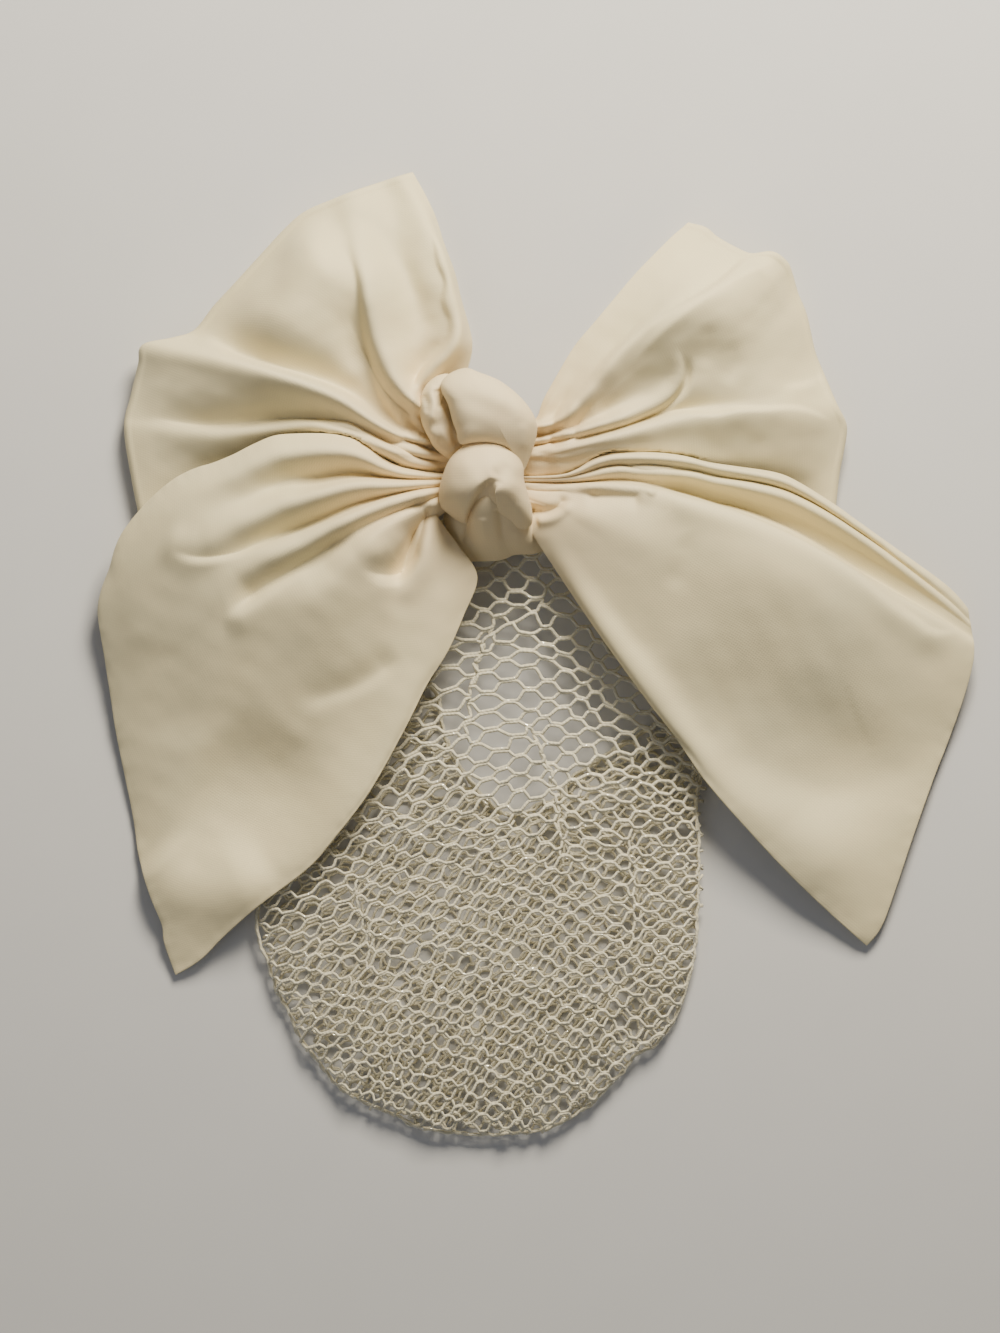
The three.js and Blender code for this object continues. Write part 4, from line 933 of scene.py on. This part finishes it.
# %% The small gathered fold at its left
TUCK_OUTLINE = [
    (-21.6, 70, 23.5), (-24.6, 69.4, 23.5), (-27.3, 66.9, 23.5), (-28.7, 62.8, 23), (-28.3, 58.4, 22.5),
    (-26.7, 54.5, 22), (-24.6, 51.2, 20.5), (-20.6, 48.8, 20), (-18, 51.4, 22), (-18.6, 54.4, 23),
    (-19.8, 58, 23.5), (-20.9, 62, 23.5), (-22.2, 65.3, 23.5), (-22, 68, 23.5)]
TUCK_STROKES = [
    ([(-23.3, 67.4), (-22.9, 64.6), (-21.8, 61.6), (-20.9, 58.4), (-20.2, 54.8), (-18.6, 51.4)],
     (-1.0, -1.2), 0.9, 1.1, (0.1, 0.1)),
    ([(-25.4, 68), (-25.9, 65.4), (-25, 62.6), (-25.6, 59.4), (-24.8, 56.6)], (0.6, 0.8), 1.1, 1.3,
     (0.15, 0.25)),
    ([(-24, 66.4), (-23.5, 63.6), (-22.7, 60.8)], (-0.9, -1.1), 1.2, 1.2, (0.2, 0.3)),
    ([(-27.2, 55.4), (-24.6, 54.8), (-21.6, 55.6)], (0.4, 0.4), 1.6, 1.6, (0.3, 0.3)),
    ([(-26.6, 58), (-24.2, 57.4), (-21.4, 58.2)], (-0.4, -0.7), 1.6, 1.6, (0.3, 0.2)),
    ([(-28, 65), (-26.8, 62.4), (-27, 59.6)], (-0.5, -0.5), 0.9, 0.9, (0.2, 0.3)),
    ([(-24.6, 53.6), (-22.4, 52), (-20, 51)], (-0.5, -0.6), 0.9, 0.9, (0.2, 0.2)),
]
knot_fold = lump(
    "knot_tuck_fold", (-24, 60.2), TUCK_OUTLINE, (28.6, (-24, 60), 0, 0.014, 0.014),
    TUCK_STROKES, belly=2.0, fullness=3.2, rings=60, places=200, seed=71)

# %% [markdown]
# The knot's sash ends in a short flap that hangs over the top of the net. It is a wing like the
# others, only small, with soft upright pleats.

# %% The flap below the knot
KNOT_STRIP = [
    ("left_edge", (-20.6, 37.2, 12), (-22.6, 35.2, 13), (-22, 32, 13.2), (-19.6, 28, 12.2),
     (-17.5, 24.4, 10.6)),
    ("left_panel", (-18.8, 38, 17), (-19.8, 35.8, 17.4), (-19.8, 32, 16.4), (-18.2, 28, 14.2),
     (-16, 24.3, 11)),
    ("groove", (-16.5, 40, 22), (-17.3, 36.6, 21), (-17.6, 32.4, 18.4), (-16.6, 28.2, 15.4),
     (-14.2, 24.2, 11.4)),
    ("left_ridge", (-13.2, 42.4, 29.6), (-14.4, 38.8, 30), (-15, 34, 26.6), (-13.9, 28.8, 20),
     (-11.8, 24.2, 12.4)),
    ("middle", (-10.5, 43, 30.6), (-11, 39.2, 31.6), (-11.4, 34, 27.6), (-10.8, 28.8, 20.4),
     (-9, 24.4, 12.2)),
    ("valley", (-8, 42.2, 28.6), (-8, 38.4, 29.2), (-8.2, 33.4, 24.8), (-7.6, 28.6, 18.6),
     (-6, 24.9, 11.8)),
    ("right_ridge", (-5, 41, 26), (-4.6, 37, 25), (-3.9, 32.5, 22), (-3, 28.8, 17.8), (-1.6, 25.6, 12.2)),
    ("right_edge", (-2.6, 40, 18.6), (-1.2, 36.5, 17.8), (0.2, 32.4, 16.4), (1.6, 28.8, 14),
     (3.4, 26.4, 11)),
]
OUTLINES["knot_strip"] = dict(end=[
    (-17.6, 24.4), (-16, 23.9), (-12, 23.9), (-9, 24.1), (-7, 24.7), (-5.4, 25.4), (-3, 25.6), (-0.5, 25.7),
    (3.4, 26.8)])
STROKES["knot_strip"] = [
    ([(-10.8, 41.4), (-13.6, 39), (-15.6, 36), (-16.9, 32), (-18.2, 27)], (-1.4, -1.0), 0.7, 0.8,
     (0.1, 0.2)),
    ([(-13.2, 34.8), (-12.8, 31.4), (-12.5, 28)], (0.7, 0.4), 1.2, 1.2, (0.2, 0.3)),
    ([(-9.4, 37), (-8.7, 33), (-8.2, 28.6)], (-1.2, -0.7), 1.4, 1.1, (0.1, 0.3)),
    ([(-5.4, 32), (-4.4, 28.6), (-3.8, 26.2)], (0.5, 0.3), 1.2, 1.2, (0.2, 0.3)),
]
STRIP_THINNER = 0.8
strip_grid, strip_half = sewn_tail("knot_strip", KNOT_STRIP, 83, rows=90, columns=110)
pieces["knot_strip"] = thick_cloth("knot_strip_cloth", strip_grid, strip_half * STRIP_THINNER)
pieces.update(knot_over=knot_roll, knot_under=knot_curl, knot_tuck=knot_fold)
for piece in pieces.values():
    piece.data.materials.append(bow_cloth)
print("the bow has", len(pieces), "pieces of cloth")

# %% [markdown]
# ## The knitted net
# The net is knitted round, of a soft cotton thread with a glittering filament. Its threads run
# round the bag in rows and touch by turns, which leaves six-sided holes. Each thread is a zigzag with
# flat tops, opposite to its neighbours. A texture with holes would be quicker, but only real threads
# pass in front of each other and show the second layer below.

# %% The shape of the bag
NET_PITCH = 2.27
NET_PERIODS = [(41, 9.2), (0, 8.6), (-40, 7.4), (-110, 5.6), (-130, 5.6)]
NET_STEP = 0.64
NET_TOP = 41.5
LEFT_SIDE = [(-50, 44), (-56, 22), (-62, 0), (-67, -30), (-69.6, -60), (-69.4, -72), (-69.4, -130)]
RIGHT_SIDE = [(28, 44), (33, 22), (38, 0), (41.5, -20), (42, -32), (40.6, -38), (41.4, -47), (41, -72),
              (41, -130)]
BAG_BOTTOM = [
    (-69.6, -70), (-67, -77), (-65, -84), (-62, -89), (-60, -94), (-56, -100), (-50, -107.6), (-46, -110.6),
    (-40, -113.4), (-34, -116), (-30, -118.2), (-25, -119.4), (-12, -120.4), (0, -119.6), (5, -118.2),
    (10, -115.4), (15, -112), (18, -108.6), (22, -104.6), (26, -99.8), (30, -98), (34, -93), (37, -87),
    (38.4, -82), (40, -76), (41.2, -66)]
FREE_RIM = [(-62, -2), (-40, -4), (-30, -6), (-24.6, -9.8), (-22.9, -19.2), (-17.7, -29.6), (-7.4, -39.9),
            (1.3, -37.5), (6.4, -35.5), (9.9, -30.5), (20.2, -23.5), (30.5, -17.5), (41, -13)]


def table_value(table, place):
    """The second column of a table, read at a place of the first, with straight lines between."""
    table = np.array(sorted(table), float)
    return np.interp(place, table[:, 0], table[:, 1])


def side_value(line, y):
    """The x of a drawn side at a height y of the plan."""
    return table_value([(b, a) for a, b in line], y)


def fold_round(across, y):
    """Plan place and share of the width of a thread that runs round the bag: across is measured flat,
    and beyond a side the thread turns back on the under layer, x = 2 * side - across."""
    left, right = side_value(LEFT_SIDE, y), side_value(RIGHT_SIDE, y)
    share = (across - left) / (right - left)
    x = np.where(share > 1, 2 * right - across, np.where(share < 0, 2 * left - across, across))
    return x, share


BAG_FLOOR, BAG_CEILING, CEILING_SLOPE, HEM_MIDDLE = 0.6, 7.4, 1.0, 2.4


def bag_height(x, y, share, below):
    """Height = middle +- rise; the rise is level over most of the width, and closes at the sides by
    (1 - |2 share - 1|^6)^0.45 and at the bottom by (1 - down^9)^(1/2)."""
    down = np.clip((NET_TOP - y) / (NET_TOP - table_value(BAG_BOTTOM, x)), 0, 1)
    closing = np.sqrt(1 - down**9)
    inner = np.where(share > 1, 2 - share, np.abs(share))
    swell = np.maximum(0, 1 - np.abs(2 * np.clip(inner, 0, 1) - 1) ** 6) ** 0.45
    ceiling = BAG_CEILING + CEILING_SLOPE * soft(42, 0, y)
    middle = HEM_MIDDLE + ((ceiling + BAG_FLOOR) / 2 - HEM_MIDDLE) * closing
    rise = (ceiling - BAG_FLOOR) / 2 * swell * closing
    return middle + np.where(below, -rise, rise)


# %% Rows, gathers and unevenness of the net
LEFT_ROWS = [(41, 0.12), (5, 0.16), (-20, 0.28), (-50, 0.38), (-80, 0.34), (-125, 0.12)]
RIGHT_ROWS = [(41, -0.10), (14, -0.20), (-18, -0.20), (-38, -0.05), (-60, 0.03), (-125, 0.12)]
ROWS_TURN, ROW_COUNT = 7.0, 74
NET_PLEATS = [
    ([(-10, 14), (-14, 2), (-16.5, -10), (-15.5, -24)], 2.6, 1.8),
    ([(4, 21), (1, 12), (-6, 7), (-12, 2)], 2.0, 1.8),
    ([(-3, -16), (1, -24), (3.5, -31), (5, -37)], 2.2, 2.2),
    ([(5, -30), (6, -40), (7, -52)], 2.0, 2.0),
    ([(-46, -52), (-44, -66), (-40, -80)], 1.6, 2.2),
    ([(24, -40), (25, -58), (24, -76)], 1.6, 2.2),
]
KNIT_SHARPNESS = 1.9
DRAWN_SPOT, DRAWN_SIZE, DRAWN_SHARE = (5.5, -36), (14, 13), 0.38


def drawn_in(x, y):
    """How far threads are drawn sideways to the spot where the net is gathered: a share of the
    distance, times exp(-(distance / size)^2) in x and in y."""
    beside, beyond = (x - DRAWN_SPOT[0]) / DRAWN_SIZE[0], (y - DRAWN_SPOT[1]) / DRAWN_SIZE[1]
    return (DRAWN_SPOT[0] - x) * DRAWN_SHARE * (np.exp(-(beyond**2)) * np.exp(-(beside**2)))


def row_bend(x, y):
    """Height of a row over its middle: the row's slope on each side, from a table, times a distance
    that grows softly, w * log(1 + e^(x / w))."""
    leftwards = ROWS_TURN * np.log1p(np.exp(-x / ROWS_TURN))
    rightwards = ROWS_TURN * np.log1p(np.exp(x / ROWS_TURN))
    return table_value(RIGHT_ROWS, y) * rightwards - table_value(LEFT_ROWS, y) * leftwards


def pleat(x, y, line, amount, width):
    """Draws threads together towards a line: each moves by amount * tanh(distance / width)."""
    side, share, beyond = from_line(x, y, line)
    fade = soft(0, 0.2, share) * soft(1, 0.8, share) * np.exp(-((beyond / 3) ** 2))
    return amount * np.tanh(side / width) * np.exp(-((side / (4 * width)) ** 2)) * fade


# %% The threads of one bag
FLAT_REACH = (-130.0, 101.0)
TOUCH, THREAD_LIFT, TABLE_GAP = 0.6, 0.2, 0.06
UNDER_APART = 40


def net_threads(seed, radius):
    """All threads of the bag and, for each point, whether it is on the top or the under layer. A
    thread runs round the bag along its row and swings up and down by half the pitch less its own
    thickness, by sin(phase) * 1.9 cut off at +-1; its neighbours swing the opposite way. Ripples
    make the cells uneven, but not at the bag's sides, where both layers meet."""
    index = np.arange(ROW_COUNT)[:, None]
    middle = NET_TOP - NET_PITCH * (index + 0.5)
    across = np.arange(*FLAT_REACH, NET_STEP)[None, :] + 0 * middle
    row = middle + row_bend(np.clip(across, -69, 41), middle)
    period = table_value(NET_PERIODS, middle)
    phase = 2 * np.pi * (across - KNOT_SPOT[0]) / period + 0.6 * ripple(across, row, 40, seed + 9)
    swing = np.clip(KNIT_SHARPNESS * np.sin(phase), -1, 1) * np.where(index % 2, 1, -1)
    x, share = fold_round(across, row)
    y = row + swing * (NET_PITCH / 2 - TOUCH * radius)
    below = (share < 0) | (share > 1)
    place = np.stack([x, y, bag_height(x, y, share, below)], -1)
    place[..., 2] += THREAD_LIFT * np.sin(phase / 2 + index * 1.7)
    inside = np.clip(8 * np.minimum(np.abs(share), np.abs(1 - share)), 0, 1) * soft(0, 6, NET_TOP - y)
    other = np.where(below, UNDER_APART, 0)
    place[..., 0] += uneven(x + other, y, seed, (0.8, 18), (0.45, 8)) * inside
    sway = uneven(x, y + other, seed + 2, (0.8, 18)) + uneven(x, y, seed + 3, (0.4, 7))
    place[..., 1] += sway * inside
    place[..., 2] += uneven(x, y, seed + 4, (0.35, 12)) * inside
    for line, amount, width in NET_PLEATS:
        place[..., 0] -= np.where(below, 0, pleat(x, y, line, amount, width))
    place[..., 0] += np.where(below, 0, drawn_in(x, y))
    place[..., 2] = np.maximum(place[..., 2], radius + TABLE_GAP)
    on_bag = y > table_value(BAG_BOTTOM, x)
    half_way = (share > -0.5) & (share < 1.5)
    low = below & on_bag & half_way & (y < table_value(FREE_RIM, x))
    return place, ~below & on_bag, low


# %% Threads as tubes
def across_way(lines):
    """For each point of the lines, a level unit vector across its direction and one across both."""
    way = unit(np.gradient(lines, axis=-2))
    side = unit(np.stack([-way[..., 1], way[..., 0], np.zeros(way.shape[:-1])], -1))
    return side, np.cross(way, side)


def thread_mesh(name, lines, keep, radius, sides=6):
    """Round threads along lines of shape (threads, points, 3), where keep is true: a ring of points
    round each place of a line, and a flat end where a kept run starts or stops."""
    threads, count = lines.shape[:2]
    side, lift = across_way(lines)
    turn = 2 * np.pi * np.arange(sides) / sides
    thick = np.broadcast_to(radius, (threads, count))[..., None, None]
    ring = np.cos(turn)[:, None] * side[..., None, :] + np.sin(turn)[:, None] * lift[..., None, :]
    points = (lines[..., None, :] + thick * ring).reshape(-1, 3)
    corner = np.arange(threads * count * sides).reshape(threads, count, sides)
    joined = keep[:, 1:] & keep[:, :-1]
    this, after = corner[:, :-1][joined], corner[:, 1:][joined]
    quads = np.stack([this, after, np.roll(after, -1, -1), np.roll(this, -1, -1)], -1).reshape(-1, 4)
    gap = np.zeros((threads, 1), bool)
    starts = np.concatenate([joined, gap], 1) & ~np.concatenate([gap, joined], 1)
    stops = np.concatenate([gap, joined], 1) & ~np.concatenate([joined, gap], 1)
    ends = [corner[starts], corner[stops][:, ::-1]]
    if signed_volume(points, quads) < 0:
        quads, ends = quads[:, ::-1], [end[:, ::-1] for end in ends]
    used = np.unique(quads)
    faces = np.searchsorted(used, quads).tolist()
    for end in ends:
        faces += np.searchsorted(used, end).tolist()
    return put_mesh(name, points[used], faces)


# %% [markdown]
# The bag is wider than it lies, so below its free rim it has a gathered run of net between the top
# and the under layer. That run is what makes the lower half look dense. It is left out at a few
# spots, where the table shows through.

# %% The top layer, the under layer and the gathered run
THREAD, THREAD_SWELL, NET_GAP, BOW_HALF = 0.36, 0.09, 0.75, 0.9
GATHERED_SHIFT, GATHERED_GAP = np.array([1.4, -1.2, 0]), 2.0
THIN_SPOTS = np.array([
    (-33, -76, 3.6), (-28, -73, 3.4), (-33, -82, 3), (-18, -77, 2.6), (-14, -85, 2.6), (-20, -64, 2.2),
    (20, -78, 3.4), (16, -81, 3), (22, -87, 2.6), (25, -69, 2.4), (37, -45, 2), (37, -51, 2),
    (-58, -86, 4), (-48, -100, 5), (-32, -108, 4), (-10, -114, 3), (4, -110, 4), (14, -104, 4),
    (24, -94, 4)])


def clear_of(place, spots):
    """True where a point lies farther from each spot than that spot's size."""
    gap = np.hypot(place[..., 0, None] - spots[:, 0], place[..., 1, None] - spots[:, 1])
    return (gap > spots[:, 2]).all(-1)


bow_grids = [*(grid for grid, _ in tails.values()), strip_grid]
over_net = [grid - np.array([0, 0, BOW_HALF]) for grid in bow_grids]
bag_threads, on_top, on_low = net_threads(101, THREAD)
bag_threads = lie_below(bag_threads, over_net, NET_GAP)
thicker = THREAD_SWELL * soft(-48, -30, bag_threads[..., 1])
net_top = thread_mesh("net_top_threads", bag_threads, on_top, THREAD + thicker)

# the gathered run lies lower than the under layer's middle and stays inside the rim and the bottom
gathered, in_bag, _ = net_threads(211, THREAD)
gathered += GATHERED_SHIFT
gathered[..., 2] = np.maximum(0.5 * gathered[..., 2] + 0.4, 1.4)
in_bag &= gathered[..., 1] < table_value(FREE_RIM, gathered[..., 0]) - 1.5
in_bag &= gathered[..., 1] > table_value(BAG_BOTTOM, gathered[..., 0]) + 2
in_bag &= clear_of(gathered, THIN_SPOTS)
gathered = lie_below(gathered, over_net, GATHERED_GAP)
net_low = thread_mesh(
    "net_under_threads", np.concatenate([bag_threads, gathered]), np.concatenate([on_low, in_bag]),
    THREAD * 0.96)
print("net:", len(net_top.data.polygons), "and", len(net_low.data.polygons), "faces")


# %% The rim and the bottom seam
SEAM_GAP, CORD = 1.6, 0.38


def cord_line(line, wave, height, seed, count=620):
    """A thread along a drawn line that wanders by wave mm in plan, and half as much in height."""
    x, y = even_line(line, count).T
    wander = [wave * ripple(x * 3, y * 3, 12, seed + i) for i in range(3)]
    return np.stack([x + wander[0], y + wander[1], height + wander[2] * 0.5], -1)


OUTER_LINE = [(-66.2, -26), (-67.8, -40), (-69.4, -56), *BAG_BOTTOM[:-1], (40.8, -66), (41, -56),
              (41.2, -47), (40.4, -38), (41.6, -30), (41.2, -20)]
rim_threads = np.stack([cord_line(FREE_RIM, 0.5, 1.6 + 0.5 * i, 151 + 7 * i) for i in range(3)])
seam_threads = np.stack([cord_line(OUTER_LINE, 0.3, 2.2 + 0.4 * i, 181 + 7 * i) for i in range(2)])
seam_threads[..., 2] += 1.8 * soft(-95, -55, seam_threads[..., 1])
cords = np.concatenate([lie_below(line, over_net, SEAM_GAP) for line in (rim_threads, seam_threads)])
cords[..., 2] = np.maximum(cords[..., 2], 0.6)
net_rim = thread_mesh("net_rim_threads", cords, np.ones(cords.shape[:2], bool), CORD)
print("rim and seam:", len(cords), "cords")

# %% [markdown]
# ## Thread and metal
# The thread is matt cotton with a filament that sparkles here and there, so most of it is a rough
# cream, twisted by a fine wave, and a sharp noise picks small spots that are bright and smooth. The
# clip is plated spring steel that was brushed lengthwise.


# %% Knitted thread
PALE_THREAD, DEEP_THREAD, THREAD_GROOVE = (0.78, 0.73, 0.56), (0.66, 0.61, 0.45), (0.50, 0.46, 0.34)
GLITTER = (0.96, 0.95, 0.86)
TWIST_RATE, GLITTER_RATE = 520.0, 1400.0


def knitted_thread():
    """Base colour = greenish cream, paler in sparkling spots; roughness falls in the same spots."""
    thread = Finish("knitted_net_thread", Sheen_Weight=0.35, Specular_IOR_Level=0.35)
    where = thread.place()
    tone = thread.noise(where, 0.012, 2)
    twist = thread.bands(where, "DIAGONAL", TWIST_RATE, 3.0, 2.0)
    glitter = thread.node("TexNoise", Vector=where, Scale=GLITTER_RATE, Detail=1.0)["Fac"]
    spark = thread.change(glitter, 0.64, 0.72, 0.0, 1.0)
    base = thread.mix(tone, DEEP_THREAD, PALE_THREAD)
    shaded = thread.mix(twist * 0.3, base, THREAD_GROOVE)
    thread.set(Base_Color=thread.mix(spark, shaded, GLITTER), Roughness=0.72 - 0.5 * spark,
               Metallic=spark * 0.6)
    thread.bump(twist + glitter * 0.4, strength=0.5, distance=0.0001)
    return thread.material


net_thread = knitted_thread()
for piece in (net_top, net_low, net_rim):
    piece.data.materials.append(net_thread)
print("made", net_thread.name)


# %% Brushed steel
STEEL_DARK, STEEL_PALE = (0.50, 0.50, 0.48), (0.78, 0.77, 0.73)


def brushed_steel():
    """Grey metal with long fine scratches: noise stretched lengthwise drives tone and roughness."""
    steel = Finish("brushed_clip_steel", Metallic=1.0)
    grain = steel.noise(steel.place(scale=(0.04, 1, 1)), 0.0006, 3)
    wear = steel.noise(steel.place(), 0.01, 3)
    steel.set(Base_Color=steel.mix(grain * 0.5 + wear * 0.4, STEEL_DARK, STEEL_PALE),
              Roughness=0.24 + 0.2 * grain + 0.12 * wear)
    steel.bump(grain, strength=0.25, distance=0.00005)
    return steel.material


clip = bpy.data.objects["barrette"]
clip.data.materials.clear()
clip.data.materials.append(brushed_steel())
print("the clip's finish is", clip.data.materials[0].name)

# %% [markdown]
# ## Each piece in place of its solid
# Every new piece rides on the one body and stands for a solid of the model, which is hidden. The area
# inside each is taken from this script's own mesh, and not from the photo, so a check that compares
# the two finds them alike by construction, and says nothing about the real cut.


# %% Each piece on the body, with its solid hidden
def cut_area(piece):
    """Half the surface of a closed sheet, in square metres."""
    return sum(face.area for face in piece.data.polygons) / 2


NODES = {
    "knot_over": ("knot_over",), "knot_under": ("knot_under", "knot_lip"), "knot_tuck": ("knot_tuck",),
}
for name, piece in pieces.items():
    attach(piece, "root")
    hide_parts(*NODES.get(name, (name,)))
    print(f"{name}: {cut_area(piece):.4f} m2, {len(piece.data.polygons)} faces")
for piece in (net_top, net_low, net_rim):
    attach(piece, "root")
    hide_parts("net_bag")
    print(f"{piece.name}: {cut_area(piece):.4f} m2, {len(piece.data.polygons)} faces")


# %% [markdown]
# ## The table, the light and the camera
# The object lies on a plain pale table. One large soft lamp stands beyond the bow, so each fold has
# a bright upper side and a shaded lower one, and a weak sky fills the shade. The camera looks
# straight down from 1.5 m.

# %% Floor
TABLE_HALF = 3
corners = [(x * TABLE_HALF, y * TABLE_HALF, 0) for x, y in ((-1, -1), (1, -1), (1, 1), (-1, 1))]
floor_mesh = bpy.data.meshes.new("table_top")
floor_mesh.from_pydata(corners, [], [(0, 1, 2, 3)])
floor = in_scene("table_top", floor_mesh)
paper = Finish("pale_table", Roughness=0.85)
paper_noise = paper.noise(paper.place(), 0.02, 3)
paper.set(Base_Color=paper.mix(paper_noise, (0.60, 0.60, 0.61), (0.63, 0.63, 0.64)))
floor_mesh.materials.append(paper.material)

# %% Camera
FRAME_HEIGHT, CAMERA_ABOVE, BOW_PLANE = 0.33325, 1.5, 0.012
CAMERA_CENTRE = (np.array([-8.75, -2.6]) + shift_mm) * MM
SENSOR = 36
camera_data = bpy.data.cameras.new("camera")
camera_data.sensor_fit = "VERTICAL"
camera_data.sensor_height = SENSOR
camera_data.lens = SENSOR * CAMERA_ABOVE / FRAME_HEIGHT
camera_data.clip_end = 20
camera = in_scene("camera", camera_data)
camera.location = (*CAMERA_CENTRE, CAMERA_ABOVE + BOW_PLANE)
bpy.context.scene.camera = camera


# %% Lights
BOW_MIDDLE = np.array([0.0, 0.03, 0.01])
SKY_COLOUR, SKY_STRENGTH = (0.95, 0.97, 1.0, 1), 0.15


def soft_lamp(name, place, size, power, colour):
    """A square area light that looks at the middle of the bow."""
    lamp = bpy.data.lights.new(name, "AREA")
    lamp.size, lamp.energy, lamp.color = size, power, colour
    made = in_scene(name, lamp)
    made.location = place
    aim = BOW_MIDDLE - np.array(place)
    made.rotation_euler = (np.arctan2(np.hypot(aim[0], aim[1]), -aim[2]), 0, np.arctan2(-aim[0], aim[1]))


soft_lamp("window_lamp", (0.12, 0.50, 0.40), size=0.24, power=9.4, colour=(1.0, 0.91, 0.73))
soft_lamp("fill_lamp", (-0.8, -0.5, 1.3), size=1.2, power=2.4, colour=(0.97, 0.98, 1.0))
sky = bpy.data.worlds.new("pale_sky")
sky.use_nodes = True
background = sky.node_tree.nodes["Background"]
background.inputs["Color"].default_value = SKY_COLOUR
background.inputs["Strength"].default_value = SKY_STRENGTH
bpy.context.scene.world = sky
print("the camera looks down from", camera.location.z, "m")
